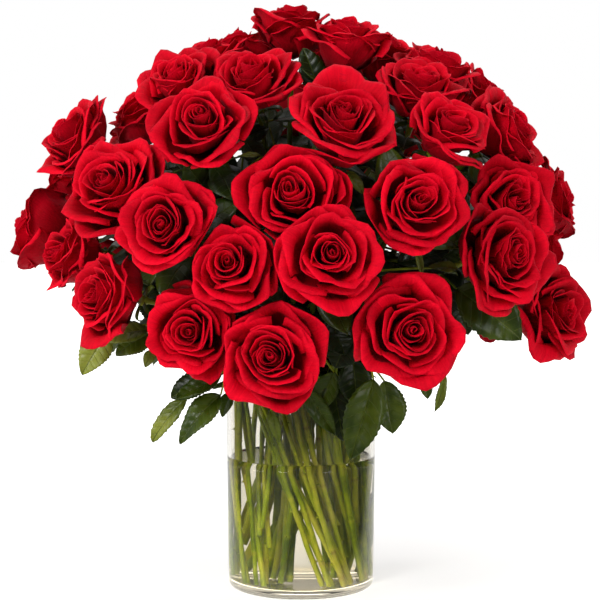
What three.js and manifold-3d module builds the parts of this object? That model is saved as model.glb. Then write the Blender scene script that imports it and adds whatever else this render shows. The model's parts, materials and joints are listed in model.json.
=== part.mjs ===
// A large round bouquet of red roses standing in a clear glass cylinder vase.
// Millimetres, +Z up. The origin is the centre of the vase's underside, the front is -Y.
import * as THREE from "three";
import { mergeVertices } from "three/addons/utils/BufferGeometryUtils.js";
import Module from "manifold-3d";

const wasm = await Module();
wasm.setup();

// Vase: a plain cylinder with a thick floor and a very slight flare.
const VASE_HEIGHT = 203;
const VASE_RIM_RADIUS = 76;
const VASE_FOOT_RADIUS = 74;
const VASE_WALL = 4;
const VASE_FLOOR = 13;
const VASE_CORNER = 6.5;
const VASE_CORNER_CUT = 1.8;
const INNER_CORNER = 5;
const INNER_CORNER_CUT = 1.5;
const RIM_ROUND = 1.5;
const RIM_CUT = 1.2;
const VASE_SIDES = 32;
const WATER_LEVEL = 132;

// Clearance between pieces that rest on or press against each other.
const GAP = 0.3;

// Stems: five-sided, a little thinner towards the bloom, with a swelling under the petals.
const STEM_SIDES = 5;
const STEM_FOOT_RADIUS = 3.2;
const STEM_MOUTH_RADIUS = 2.9;
const STEM_NECK_RADIUS = 2.6;
const STEM_HIP_RADIUS = 5.5;
const NECK_LENGTH = 9;
const STEM_BENDS = [0.3, 0.62];
const STEM_PULL = 0.33;
const HOLE_CLEARANCE = 0.6;
const HOLE_LEVELS = [10, 72, 138];

// Bunching of the stems: the groups are twisted round the axis, and within a group each stem
// crosses and touches the next one. Spacing of the stems' feet and tops across the group, half
// the distance between the axes of two stems where they cross, and distance of the groups' feet
// from the vase's axis.
const STEM_SPACING = 6.8;
const CROSSING_OFFSET = 0.55;
const INNER_FOOT_REACH = 19;
const OUTER_FOOT_REACH = 55;

// Blooms: drawn for this width, scaled to each rose's own width.
const BLOOM_WIDTH = 88;
const EYE_HEIGHT = 46;
const BODY_CENTRE = 27;
const FOOT_RADIUS = 5;
const PETALS = 5;
const LOOSE_RADIUS = 0.07;
const LOOSE_HEIGHT = 1.6;
const BLOOM_SEED = 97;
const RING_SEED = 11;

// How blooms press against each other: the share of the way to the neighbour's plane at which
// petals start to be pushed back, and the gap left at the plane.
const PRESS_START = 0.82;
const BLOOM_GAP = 0.35;

// Leaves: thin blades with narrow stalks, arched along their length and drooping to the sides.
// A pair of side leaflets stands at a share of the stalk. Short leaflets have the plainer edge.
const LEAF_THICKNESS = 0.9;
const STALK_WIDTH = 2.6;
const PAIR_PLACE = 0.52;
const PAIR_ANGLE = 64;
const PAIR_SIZE = 0.84;
const SIDE_DROOP = 0.2;
const LEAF_ARCH = 0.07;
const SMALL_LEAFLET = 47;

const PETAL_RED = 0xc80018;
const LEAF_GREEN = 0x35551f;

// Stem groups: heading of the group at the vase's mouth and at the stems' feet, its distance from
// the axis at the mouth, and how far its fan is turned from the tangent in degrees.
const GROUPS = [
  { name: "leafy_stems_left", heading: -172, foot: -140, reach: 62, slant: 20 },
  { name: "leafy_stems_front_left", heading: -136, foot: -84, reach: 62, slant: -25 },
  { name: "leafy_stems_front_mid_left", heading: -102, foot: -50, reach: 62, slant: 30 },
  { name: "leafy_stems_front_mid_right", heading: -68, foot: -19, reach: 62, slant: -20 },
  { name: "leafy_stems_front_right", heading: -32, foot: 12, reach: 62, slant: 25 },
  { name: "leafy_stems_right", heading: 12, foot: 50, reach: 62, slant: -15 },
  { name: "leafy_stems_back_right", heading: 72, foot: 105, reach: 62, slant: 20 },
  { name: "leafy_stems_back_left", heading: 130, foot: 165, reach: 62, slant: -25 },
  { name: "leafy_stems_inner_left", heading: -150, foot: -100, reach: 19, slant: 30 },
  { name: "leafy_stems_inner_right", heading: -30, foot: 20, reach: 19, slant: -30 },
  { name: "leafy_stems_inner_back", heading: 90, foot: 140, reach: 19, slant: 20 },
];

// Roses: x, y, z of the eye of the bloom, heading and rise of its face in degrees, width,
// turn about its own axis in degrees, and the stem group it belongs to.
const ROSES = [
  [-30, -245, 255, -94, 2, 105, 10, 3],
  [-100, -215, 280, -104, 4, 90, 50, 2],
  [105, -235, 285, -76, 6, 108, 31, 4],
  [-65, -240, 340, -100, 10, 96, 5, 3],
  [25, -260, 350, -86, 12, 102, 62, 4],
  [-125, -230, 380, -104, 14, 90, 20, 2],
  [-15, -225, 410, -95, 22, 104, 44, 3],
  [100, -230, 395, -78, 12, 96, 12, 4],
  [-90, -200, 475, -100, 30, 88, 66, 3],
  [40, -190, 480, -80, 42, 112, 25, 4],
  [-45, -140, 515, -100, 50, 90, 8, 9],
  [-120, -110, 515, -125, 45, 86, 37, 9],
  [-230, -60, 460, -150, 38, 94, 55, 1],
  [-180, -165, 415, -115, 30, 104, 15, 2],
  [-190, -175, 305, -148, 8, 92, 41, 2],
  [-230, -110, 345, -155, 18, 86, 60, 1],
  [-270, -40, 365, 172, 15, 88, 3, 1],
  [-255, 45, 395, 165, 25, 86, 28, 1],
  [200, -140, 395, -65, 14, 92, 48, 5],
  [200, -180, 340, -55, 5, 102, 19, 5],
  [260, -70, 285, -24, 4, 98, 58, 6],
  [210, -90, 465, -25, 32, 94, 35, 5],
  [260, -35, 395, -8, 15, 90, 11, 6],
  [255, 45, 350, 12, 5, 88, 52, 6],
  [140, -170, 465, -60, 38, 86, 23, 5],
  [115, -110, 510, -70, 58, 94, 64, 10],
  [135, -50, 530, -40, 62, 90, 17, 10],
  [190, 20, 505, -2, 45, 90, 39, 10],
  [45, -75, 555, -75, 75, 90, 57, 10],
  [-10, -5, 578, -90, 85, 90, 9, 9],
  [-65, 40, 555, 150, 72, 86, 46, 11],
  [-95, -25, 540, -150, 60, 86, 30, 9],
  [-170, -5, 485, -170, 48, 86, 1, 9],
  [88, 0, 550, -30, 72, 84, 53, 10],
  [215, 125, 290, 28, 4, 96, 26, 6],
  [115, 215, 280, 60, 2, 98, 61, 7],
  [-10, 245, 290, 92, 4, 96, 14, 7],
  [-130, 205, 280, 122, 2, 98, 43, 8],
  [-215, 120, 300, 152, 6, 94, 33, 8],
  [190, 150, 390, 38, 18, 96, 7, 6],
  [75, 230, 385, 72, 16, 98, 51, 7],
  [-70, 235, 390, 106, 16, 96, 22, 7],
  [-185, 160, 390, 138, 20, 98, 67, 8],
  [110, 135, 480, 50, 42, 94, 36, 11],
  [0, 175, 490, 92, 44, 94, 13, 11],
  [-120, 130, 480, 132, 42, 94, 59, 11],
  [40, 80, 545, 65, 68, 92, 29, 11],
];

// Leaves: the rose whose stem carries the leaf, how far along the free stem it grows (0 to 1),
// x, y, z of its tip, heading and rise of the direction its upper side faces, length and width
// of its end leaflet, and number of leaflets.
const LEAVES = [
  [3, 0.62, 42, -115, 144, -85, 10, 70, 37, 1],
  [3, 0.5, 86, -98, 174, -60, 5, 58, 36, 1],
  [3, 0.3, 35, -88, 156, -100, 5, 62, 32, 1],
  [5, 0.3, 18, -92, 166, -92, 15, 56, 34, 1],
  [1, 0.3, -24, -92, 163, -90, 5, 40, 17, 1],
  [2, 0.3, -77, -76, 185, -120, 30, 40, 22, 1],
  [2, 0.45, -119, -98, 164, -100, 35, 56, 28, 3],
  [15, 0.3, -149, -64, 161, -140, 30, 54, 24, 1],
  [1, 0.6, -98, -132, 213, -90, 50, 50, 30, 1],
  [15, 0.6, -208, -120, 229, -80, 30, 60, 38, 1],
  [15, 0.45, -172, -118, 262, -85, 45, 52, 34, 1],
  [2, 0.6, -143, -122, 237, -85, 40, 44, 22, 1],
  [20, 0.75, 196, -125, 262, -80, 35, 68, 46, 1],
  [3, 0.75, 118, -150, 210, -80, 10, 32, 18, 1],
  [20, 0.45, 126, -112, 197, -60, 20, 46, 12, 1],
  [8, 0.6, 145, -150, 326, -80, 60, 58, 30, 1],
  [9, 0.6, -107, -150, 428, -100, 20, 56, 36, 1],
  [7, 0.75, -70, -150, 405, -90, 20, 60, 38, 1],
  [10, 0.75, 78, -150, 405, -90, 20, 52, 32, 1],
  [6, 0.6, -130, -110, 318, -100, 30, 46, 32, 1],
  [5, 0.6, 41, -150, 243, -95, 15, 58, 38, 1],
  [21, 0.4, 189, -16, 214, 0, 65, 60, 38, 3],
  [35, 0.4, 158, 94, 214, 40, 65, 60, 38, 3],
  [36, 0.4, 83, 167, 209, 66, 65, 60, 38, 3],
  [37, 0.4, 20, 179, 214, 86, 65, 60, 36, 3],
  [38, 0.4, -101, 150, 210, 128, 65, 60, 38, 3],
  [39, 0.4, -158, 94, 216, 158, 65, 60, 38, 3],
  [17, 0.4, -191, -29, 240, -172, 65, 60, 38, 3],
  [40, 0.75, 165, 95, 390, 38, 30, 52, 34, 1],
  [42, 0.75, 0, 170, 390, 95, 30, 52, 34, 1],
  [22, 0.75, 165, -60, 425, -20, 40, 50, 32, 1],
  [14, 0.75, -142, -130, 314, -110, 20, 50, 32, 1],
  [12, 0.75, -140, -85, 462, -120, 40, 50, 32, 1],
  [25, 0.75, 95, -120, 436, -80, 30, 50, 32, 1],
  [4, 0.75, -93, -150, 385, -100, 20, 50, 32, 1],
  [20, 0.6, 161, -100, 365, -70, 20, 52, 34, 1],
];

// Edge of a leaflet from its base round the tip and back: share of its length and of its width.
const END_EDGE = [
  [0.14, -0.34],
  [0.42, -0.5],
  [0.78, -0.33],
  [1, 0],
  [0.78, 0.33],
  [0.42, 0.5],
  [0.14, 0.34],
];
const SIDE_EDGE = [
  [0.2, -0.42],
  [0.62, -0.44],
  [1, 0],
  [0.62, 0.44],
  [0.2, 0.42],
];

const UP = new THREE.Vector3(0, 0, 1);

function degrees(value) {
  return (value * Math.PI) / 180;
}

// Unit vector with this heading in plan and this rise above the horizontal.
function direction(heading, rise) {
  const h = degrees(heading);
  const r = degrees(rise);
  return new THREE.Vector3(Math.cos(r) * Math.cos(h), Math.cos(r) * Math.sin(h), Math.sin(r));
}

// Repeatable draw between -1 and 1: what is left after the point of a large sine.
const DRAW_STEP = 127.1;
const DRAW_START = 311.7;
const DRAW_SPREAD = 43758.5453;

function draw(seed) {
  const s = Math.sin(seed * DRAW_STEP + DRAW_START) * DRAW_SPREAD;
  return 2 * (s - Math.floor(s)) - 1;
}

function geometryOf(points, faces) {
  const geometry = new THREE.BufferGeometry();
  geometry.setAttribute(
    "position",
    new THREE.Float32BufferAttribute(points.flatMap((p) => [p.x, p.y, p.z]), 3),
  );
  geometry.setIndex(faces.flat());
  return geometry;
}

function solidOf(geometry) {
  const bare = geometry.clone();
  bare.deleteAttribute("normal");
  bare.deleteAttribute("uv");
  const merged = mergeVertices(bare, 1e-4);
  return new wasm.Manifold(
    new wasm.Mesh({
      numProp: 3,
      vertProperties: new Float32Array(merged.attributes.position.array),
      triVerts: new Uint32Array(merged.index.array),
    }),
  );
}

function geometryFrom(solid) {
  const mesh = solid.getMesh();
  const geometry = new THREE.BufferGeometry();
  geometry.setAttribute("position", new THREE.BufferAttribute(mesh.vertProperties, 3));
  geometry.setIndex(new THREE.BufferAttribute(mesh.triVerts, 1));
  geometry.computeVertexNormals();
  return geometry;
}

// Closed skin over a row of rings with equal point counts, with a flat cap at each end.
function loft(rings) {
  const n = rings[0].length;
  const faces = [];
  for (let k = 0; k + 1 < rings.length; k++) {
    for (let j = 0; j < n; j++) {
      const a = k * n + j;
      const b = k * n + ((j + 1) % n);
      faces.push([a, b, b + n], [a, b + n, a + n]);
    }
  }
  const last = (rings.length - 1) * n;
  for (let j = 1; j + 1 < n; j++) {
    faces.push([0, j + 1, j], [last, last + j, last + j + 1]);
  }
  return geometryOf(rings.flat(), faces);
}

// Rings round a path, carried along without twisting.
function ringsAlong(path, radii, sides) {
  const forward = path.map((p, i) => {
    const before = path[Math.max(i - 1, 0)];
    const after = path[Math.min(i + 1, path.length - 1)];
    return after.clone().sub(before).normalize();
  });
  let side = new THREE.Vector3(1, 0, 0);
  side.addScaledVector(forward[0], -side.dot(forward[0])).normalize();
  return path.map((p, i) => {
    side = side.clone().addScaledVector(forward[i], -side.dot(forward[i])).normalize();
    const other = new THREE.Vector3().crossVectors(forward[i], side);
    return Array.from({ length: sides }, (_, j) => {
      const a = (2 * Math.PI * j) / sides;
      return p
        .clone()
        .addScaledVector(side, radii[i] * Math.cos(a))
        .addScaledVector(other, radii[i] * Math.sin(a));
    });
  });
}

// Slides a ring along a line until it lies level at height z.
function levelRing(ring, along, z) {
  return ring.map((p) => p.clone().addScaledVector(along, (z - p.z) / along.z));
}

// Frames of the roses: eye, axis, foot of the bloom and the point its petals are pressed towards.
const roses = ROSES.map(([x, y, z, heading, rise, width, turn, group], index) => {
  const axis = direction(heading, rise);
  const scale = width / BLOOM_WIDTH;
  const depth = 0.5 + 0.5 * scale;
  const eye = new THREE.Vector3(x, y, z);
  const base = eye.clone().addScaledVector(axis, -EYE_HEIGHT * depth);
  const centre = base.clone().addScaledVector(axis, BODY_CENTRE * depth);
  return { index, eye, axis, base, centre, scale, depth, width, turn, group: group - 1, walls: [] };
});

// Neighbouring blooms press against each other at a plane between them.
for (const a of roses) {
  for (const b of roses) {
    if (a === b) {
      continue;
    }
    const between = b.centre.clone().sub(a.centre);
    const distance = between.length();
    if (distance > a.width + b.width) {
      continue;
    }
    const reach = (distance * a.width) / (a.width + b.width) - BLOOM_GAP;
    a.walls.push({ normal: between.normalize(), reach });
  }
}

// Point of a bloom after its petals are pressed back from the neighbours' planes.
function pressed(rose, point) {
  const ray = point.clone().sub(rose.centre);
  const length = ray.length();
  if (length < 1e-6) {
    return point.clone();
  }
  ray.divideScalar(length);
  let room = Infinity;
  for (const wall of rose.walls) {
    const facing = ray.dot(wall.normal);
    if (facing > 1e-6) {
      room = Math.min(room, wall.reach / facing);
    }
  }
  const share = length / room;
  if (share <= PRESS_START) {
    return point.clone();
  }
  const rest = 1 - PRESS_START;
  const kept = PRESS_START + rest * (1 - Math.exp(-(share - PRESS_START) / rest));
  return rose.centre.clone().addScaledVector(ray, room * kept);
}

// Rings of a bloom from its foot, up the backs of the outer petals, over each lip and into each
// gap between the petal layers. Radius and height at the tips of the first, third and fifth
// layer, then at the tips of the layers between them; "turn" advances the spiral.
const BLOOM_RINGS = [
  { tip: [25, 19], between: [24, 20], turn: 0, loose: 0.3 },
  { tip: [35, 30], between: [31.5, 32], turn: 0, loose: 0.7 },
  { tip: [45, 33], between: [37, 38], turn: 2, loose: 1 },
  { tip: [38, 39.5], between: [33.5, 41], turn: 4, loose: 0.8 },
  { tip: [30, 33], between: [29, 35], turn: 8, loose: 0.3 },
  { tip: [30, 44], between: [33, 44.5], turn: 14, loose: 0.8 },
  { tip: [23.5, 36], between: [24, 37], turn: 20, loose: 0.3 },
  { tip: [25, 49], between: [21.5, 48.5], turn: 28, loose: 0.7 },
  { tip: [16.5, 40], between: [16.5, 40.5], turn: 38, loose: 0.3 },
];
const BUD_RINGS = [
  { radius: 16.5, height: 52, turn: 48 },
  { radius: 10.5, height: 43, turn: 60 },
  { radius: 8, height: 52.5, turn: 74 },
];
const BUD_FLOOR = 46.5;

function bloomGeometry(rose) {
  const side = new THREE.Vector3().crossVectors(UP, rose.axis).normalize();
  const other = new THREE.Vector3().crossVectors(rose.axis, side);
  const place = (angle, radius, height) => {
    const a = degrees(angle + rose.turn);
    return rose.base
      .clone()
      .addScaledVector(side, radius * rose.scale * Math.cos(a))
      .addScaledVector(other, radius * rose.scale * Math.sin(a))
      .addScaledVector(rose.axis, height * rose.depth);
  };
  const step = 180 / PETALS;
  const points = [];
  const faces = [];
  for (let i = 0; i < PETALS; i++) {
    points.push(place(2 * i * step, FOOT_RADIUS, 0));
  }
  for (let i = 1; i + 1 < PETALS; i++) {
    faces.push([0, i + 1, i]);
  }
  const around = 2 * PETALS;
  BLOOM_RINGS.forEach((ring, k) => {
    for (let j = 0; j < around; j++) {
      const [radius, height] = j % 2 === 0 ? ring.tip : ring.between;
      const seed = rose.index * BLOOM_SEED + k * RING_SEED + j;
      const r = radius * (1 + LOOSE_RADIUS * ring.loose * draw(seed));
      const z = height + LOOSE_HEIGHT * ring.loose * draw(seed + 0.5);
      points.push(place(j * step + ring.turn, r, z));
    }
  });
  const first = PETALS;
  for (let i = 0; i < PETALS; i++) {
    const next = (i + 1) % PETALS;
    const [b0, b1, b2] = [first + 2 * i, first + 2 * i + 1, first + ((2 * i + 2) % around)];
    faces.push([i, b1, b0], [i, next, b1], [next, b2, b1]);
  }
  for (let k = 0; k + 1 < BLOOM_RINGS.length; k++) {
    for (let j = 0; j < around; j++) {
      const a = first + k * around + j;
      const b = first + k * around + ((j + 1) % around);
      if (j % 2 === 0) {
        faces.push([a, b, a + around], [b, b + around, a + around]);
      } else {
        faces.push([a, b, b + around], [a, b + around, a + around]);
      }
    }
  }
  const top = first + (BLOOM_RINGS.length - 1) * around;
  const bud = top + around;
  BUD_RINGS.forEach((ring, k) => {
    for (let i = 0; i < PETALS; i++) {
      const seed = rose.index * BLOOM_SEED + (BLOOM_RINGS.length + k) * RING_SEED + i;
      const r = ring.radius * (1 + LOOSE_RADIUS * draw(seed));
      points.push(place((2 * i + 1) * step + ring.turn, r, ring.height));
    }
  });
  for (let i = 0; i < PETALS; i++) {
    const next = (i + 1) % PETALS;
    const [a1, a2, a3] = [top + 2 * i + 1, top + ((2 * i + 2) % around), top + ((2 * i + 3) % around)];
    faces.push([a1, a2, bud + i], [a2, bud + next, bud + i], [a2, a3, bud + next]);
  }
  for (let k = 0; k + 1 < BUD_RINGS.length; k++) {
    for (let i = 0; i < PETALS; i++) {
      const a = bud + k * PETALS + i;
      const b = bud + k * PETALS + ((i + 1) % PETALS);
      faces.push([a, b, b + PETALS], [a, b + PETALS, a + PETALS]);
    }
  }
  const inner = bud + (BUD_RINGS.length - 1) * PETALS;
  points.push(place(0, 0, BUD_FLOOR));
  for (let i = 0; i < PETALS; i++) {
    faces.push([inner + i, inner + ((i + 1) % PETALS), points.length - 1]);
  }
  return geometryOf(
    points.map((p) => pressed(rose, p).sub(rose.base)),
    faces,
  );
}

// Which foot each top belongs to, counted across a group of 3, 4 or 5 stems, so that the crossing
// stems form one chain; and on which side of the fan each foot's stem lies.
const CHAINS = {
  3: { foot: [2, 0, 1], side: [-1, -1, 1] },
  4: { foot: [1, 3, 0, 2], side: [-1, 1, -1, 1] },
  5: { foot: [1, 3, 0, 4, 2], side: [-1, 1, -1, 1, 1] },
};

// Stems. The stems of a group stand straight in the vase; above it each bends out to its bloom.
GROUPS.forEach((group, g) => {
  const members = roses.filter((rose) => rose.group === g);
  const n = members.length;
  const footReach = group.reach > OUTER_FOOT_REACH ? OUTER_FOOT_REACH : INNER_FOOT_REACH;
  const top = direction(group.heading, 0);
  const bottom = direction(group.foot, 0);
  const across = direction(group.heading + 90 + group.slant, 0);
  const acrossFoot = direction(group.foot + 90 + group.slant, 0);
  members.sort((a, b) => a.base.dot(across) - b.base.dot(across));
  members.forEach((rose, k) => {
    const foot = CHAINS[n].foot[k];
    const offset = CROSSING_OFFSET * CHAINS[n].side[foot];
    const middle = (n - 1) / 2;
    rose.mouth = top
      .clone()
      .multiplyScalar(group.reach)
      .addScaledVector(across, STEM_SPACING * (k - middle))
      .addScaledVector(new THREE.Vector3().crossVectors(UP, across), offset)
      .setZ(VASE_HEIGHT);
    rose.foot = bottom
      .clone()
      .multiplyScalar(footReach)
      .addScaledVector(acrossFoot, STEM_SPACING * (foot - middle))
      .addScaledVector(new THREE.Vector3().crossVectors(UP, acrossFoot), offset)
      .setZ(VASE_FLOOR + GAP);
    rose.stemEnd = pressed(rose, rose.base).addScaledVector(rose.axis, -GAP);
    rose.straight = rose.mouth.clone().sub(rose.foot).normalize();
    const span = rose.mouth.distanceTo(rose.stemEnd);
    const curve = new THREE.CubicBezierCurve3(
      rose.mouth,
      rose.mouth.clone().addScaledVector(rose.straight, STEM_PULL * span),
      rose.stemEnd.clone().addScaledVector(rose.axis, -STEM_PULL * span),
      rose.stemEnd,
    );
    const neck = rose.stemEnd.clone().addScaledVector(rose.axis, -NECK_LENGTH);
    rose.free = [rose.mouth, ...STEM_BENDS.map((t) => curve.getPoint(t)), neck];
  });
});

// Point of a stem between the vase's mouth (place 0) and the neck of the bloom (place 1).
function stemPoint(rose, place) {
  const knots = [0, ...STEM_BENDS, 1];
  const k = knots.findIndex((_, i) => i + 2 === knots.length || place <= knots[i + 1]);
  const share = (place - knots[k]) / (knots[k + 1] - knots[k]);
  return rose.free[k].clone().lerp(rose.free[k + 1], share);
}

function stemSolid(rose) {
  const path = [rose.foot, ...rose.free, rose.stemEnd];
  const bends = STEM_BENDS.map((t) => STEM_MOUTH_RADIUS + (STEM_NECK_RADIUS - STEM_MOUTH_RADIUS) * t);
  const radii = [STEM_FOOT_RADIUS, STEM_MOUTH_RADIUS, ...bends, STEM_NECK_RADIUS, STEM_HIP_RADIUS];
  const rings = ringsAlong(path, radii, STEM_SIDES);
  rings[0] = levelRing(rings[0], rose.straight, VASE_FLOOR + GAP);
  return solidOf(loft(rings));
}

// Plain four-sided hole in the water for a group of stems to stand in.
function holeSolid(g) {
  const members = roses.filter((rose) => rose.group === g);
  const group = GROUPS[g];
  const heading = group.heading + 90 + group.slant;
  const rings = HOLE_LEVELS.map((z) => {
    const share = (VASE_HEIGHT - z) / (VASE_HEIGHT - VASE_FLOOR);
    const along = direction(heading + (group.foot - group.heading) * share, 0);
    const beside = new THREE.Vector3().crossVectors(UP, along);
    const points = members.map((rose) => rose.foot.clone().lerp(rose.mouth, 1 - share).setZ(0));
    const middle = new THREE.Vector3();
    points.forEach((p) => middle.addScaledVector(p, 1 / points.length));
    const reach = (axis) => Math.max(...points.map((p) => Math.abs(p.clone().sub(middle).dot(axis))));
    const margin = STEM_FOOT_RADIUS + HOLE_CLEARANCE;
    const long = reach(along) + margin;
    const short = reach(beside) + margin;
    const corner = (i, j) => {
      const p = middle.clone().addScaledVector(along, i * long);
      return p.addScaledVector(beside, j * short).setZ(z);
    };
    return [corner(-1, -1), corner(1, -1), corner(1, 1), corner(-1, 1)];
  });
  return solidOf(loft(rings));
}

// Outline of a leaf lying along +X: a narrow stalk, a pair of side leaflets and the end leaflet.
function leafShape(stalk, length, width, leaflets) {
  const half = STALK_WIDTH / 2;
  const outline = [[0, -half]];
  const pair = stalk * PAIR_PLACE;
  const addLeaflet = (place, angle, size, edge) => {
    const cos = Math.cos(degrees(angle));
    const sin = Math.sin(degrees(angle));
    for (const [along, across] of edge) {
      const a = along * length * size;
      const b = across * width * size;
      outline.push([place + a * cos - b * sin, a * sin + b * cos]);
    }
  };
  if (leaflets > 1) {
    outline.push([pair - half, -half]);
    addLeaflet(pair, -PAIR_ANGLE, PAIR_SIZE, SIDE_EDGE);
    outline.push([pair + half, -half]);
  }
  addLeaflet(stalk, 0, 1, length < SMALL_LEAFLET ? SIDE_EDGE : END_EDGE);
  if (leaflets > 1) {
    outline.push([pair + half, half]);
    addLeaflet(pair, PAIR_ANGLE, PAIR_SIZE, SIDE_EDGE);
    outline.push([pair - half, half]);
  }
  outline.push([0, half]);
  return new THREE.Shape(outline.map(([x, y]) => new THREE.Vector2(x, y)));
}

function leafSolid([carrier, place, tipX, tipY, tipZ, heading, rise, length, width, leaflets]) {
  const rose = roses[carrier - 1];
  const start = stemPoint(rose, place);
  const forward = new THREE.Vector3(tipX, tipY, tipZ).sub(start);
  const reach = forward.length();
  forward.divideScalar(reach);
  const side = new THREE.Vector3().crossVectors(direction(heading, rise), forward).normalize();
  const normal = new THREE.Vector3().crossVectors(forward, side);
  const geometry = new THREE.ExtrudeGeometry(leafShape(reach - length, length, width, leaflets), {
    depth: LEAF_THICKNESS,
    bevelEnabled: false,
  });
  const position = geometry.attributes.position;
  for (let i = 0; i < position.count; i++) {
    const x = position.getX(i);
    const y = position.getY(i);
    const share = x / reach;
    const arch = 4 * LEAF_ARCH * reach * share * (1 - share) - (SIDE_DROOP * y * y) / width;
    const p = start
      .clone()
      .addScaledVector(forward, x)
      .addScaledVector(side, y)
      .addScaledVector(normal, position.getZ(i) - LEAF_THICKNESS / 2 + arch);
    position.setXYZ(i, p.x, p.y, p.z);
  }
  return { group: rose.group, solid: solidOf(geometry) };
}

const bouquet = new THREE.Group();

const petalMaterial = new THREE.MeshStandardMaterial({ color: PETAL_RED, roughness: 0.6, metalness: 0 });
for (const rose of roses) {
  const mesh = new THREE.Mesh(bloomGeometry(rose), petalMaterial.clone());
  mesh.name = "rose_" + String(rose.index + 1).padStart(2, "0");
  mesh.position.copy(rose.base);
  bouquet.add(mesh);
}

const leaves = LEAVES.map(leafSolid);
const greenMaterial = new THREE.MeshStandardMaterial({ color: LEAF_GREEN, roughness: 0.5, metalness: 0 });
GROUPS.forEach((group, g) => {
  let solid = null;
  for (const rose of roses.filter((r) => r.group === g)) {
    const stem = stemSolid(rose);
    solid = solid ? solid.add(stem) : stem;
  }
  for (const leaf of leaves.filter((l) => l.group === g)) {
    solid = solid.add(leaf.solid);
  }
  const mesh = new THREE.Mesh(geometryFrom(solid), greenMaterial.clone());
  mesh.name = group.name;
  bouquet.add(mesh);
});

// Radius of the vase's inner wall at a height.
function innerRadius(z) {
  const foot = VASE_FOOT_RADIUS - VASE_WALL;
  const rim = VASE_RIM_RADIUS - VASE_WALL;
  return foot + ((rim - foot) * (z - VASE_FLOOR)) / (VASE_HEIGHT - VASE_FLOOR);
}

const vaseProfile = [
  [0, 0],
  [VASE_FOOT_RADIUS - VASE_CORNER, 0],
  [VASE_FOOT_RADIUS - VASE_CORNER_CUT, VASE_CORNER_CUT],
  [VASE_FOOT_RADIUS, VASE_CORNER],
  [VASE_RIM_RADIUS, VASE_HEIGHT - RIM_ROUND],
  [VASE_RIM_RADIUS - RIM_CUT, VASE_HEIGHT],
  [VASE_RIM_RADIUS - VASE_WALL + RIM_CUT, VASE_HEIGHT],
  [VASE_RIM_RADIUS - VASE_WALL, VASE_HEIGHT - RIM_ROUND],
  [innerRadius(VASE_FLOOR + INNER_CORNER), VASE_FLOOR + INNER_CORNER],
  [innerRadius(VASE_FLOOR) - INNER_CORNER_CUT, VASE_FLOOR + INNER_CORNER_CUT],
  [innerRadius(VASE_FLOOR) - INNER_CORNER, VASE_FLOOR],
  [0, VASE_FLOOR],
];
const waterProfile = [
  [0, VASE_FLOOR + GAP],
  [innerRadius(VASE_FLOOR) - INNER_CORNER - GAP, VASE_FLOOR + GAP],
  [innerRadius(VASE_FLOOR) - INNER_CORNER_CUT - GAP, VASE_FLOOR + INNER_CORNER_CUT + GAP],
  [innerRadius(VASE_FLOOR + INNER_CORNER) - GAP, VASE_FLOOR + INNER_CORNER],
  [innerRadius(WATER_LEVEL) - GAP, WATER_LEVEL],
  [0, WATER_LEVEL],
];

// Solid of revolution about the vase's axis.
function turnedSolid(profile) {
  const outline = profile.map(([r, z]) => new THREE.Vector2(r, z));
  const geometry = new THREE.LatheGeometry(outline, VASE_SIDES);
  geometry.rotateX(Math.PI / 2);
  return solidOf(geometry);
}

const vase = new THREE.Mesh(
  geometryFrom(turnedSolid(vaseProfile)),
  new THREE.MeshStandardMaterial({ color: 0xeef4f2, roughness: 0.05, transparent: true, opacity: 0.3 }),
);
vase.name = "glass_vase";
bouquet.add(vase);

let waterSolid = turnedSolid(waterProfile);
GROUPS.forEach((_, g) => {
  waterSolid = waterSolid.subtract(holeSolid(g));
});
const water = new THREE.Mesh(
  geometryFrom(waterSolid),
  new THREE.MeshStandardMaterial({ color: 0xe8f0ec, roughness: 0.02, transparent: true, opacity: 0.4 }),
);
water.name = "water";
bouquet.add(water);

export default bouquet;
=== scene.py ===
"""A large round bouquet of red roses standing in a clear glass cylinder vase of water.

The frame holds the solids. This script dresses them: petals in layers round each eye, leaves with
toothed edges and veins, smooth stems, glass and water. In the tables, lengths are millimetres and
angles are degrees.
"""
import json
import math

import bpy
import numpy as np
from mathutils import Matrix, Vector

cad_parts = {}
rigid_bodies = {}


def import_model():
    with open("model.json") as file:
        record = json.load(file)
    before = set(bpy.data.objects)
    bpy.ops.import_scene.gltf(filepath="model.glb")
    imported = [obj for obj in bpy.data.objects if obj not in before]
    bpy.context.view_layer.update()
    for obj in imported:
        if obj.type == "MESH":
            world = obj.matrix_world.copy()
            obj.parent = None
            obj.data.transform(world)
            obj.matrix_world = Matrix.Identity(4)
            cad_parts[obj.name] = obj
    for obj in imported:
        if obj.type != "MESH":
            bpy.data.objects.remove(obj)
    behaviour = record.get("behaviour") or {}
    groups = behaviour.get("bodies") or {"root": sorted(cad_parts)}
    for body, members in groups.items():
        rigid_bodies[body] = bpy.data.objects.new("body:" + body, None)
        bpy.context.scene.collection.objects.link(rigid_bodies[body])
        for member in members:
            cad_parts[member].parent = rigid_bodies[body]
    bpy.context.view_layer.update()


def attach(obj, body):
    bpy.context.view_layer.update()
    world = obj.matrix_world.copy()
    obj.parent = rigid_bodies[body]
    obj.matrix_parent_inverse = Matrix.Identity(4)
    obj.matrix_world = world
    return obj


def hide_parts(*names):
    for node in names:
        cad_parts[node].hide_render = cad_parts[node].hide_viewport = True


for left_over in list(bpy.data.objects):
    bpy.data.objects.remove(left_over)

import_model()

MM = 0.001
UP = np.array([0.0, 0.0, 1.0])
TINY = 1e-9
# Turn from one leaf to the next round a stem, in radians.
GOLDEN_TURN = 2.4
# Seeds of the random draws: a bloom's or stem group's number is added, and the petals' seed steps
# on from bloom to bloom.
BLOOM_SEED = 700
WAVER_SEED = 1000
PETAL_SEED_STEP = 31
STEM_SEED = 500

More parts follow.
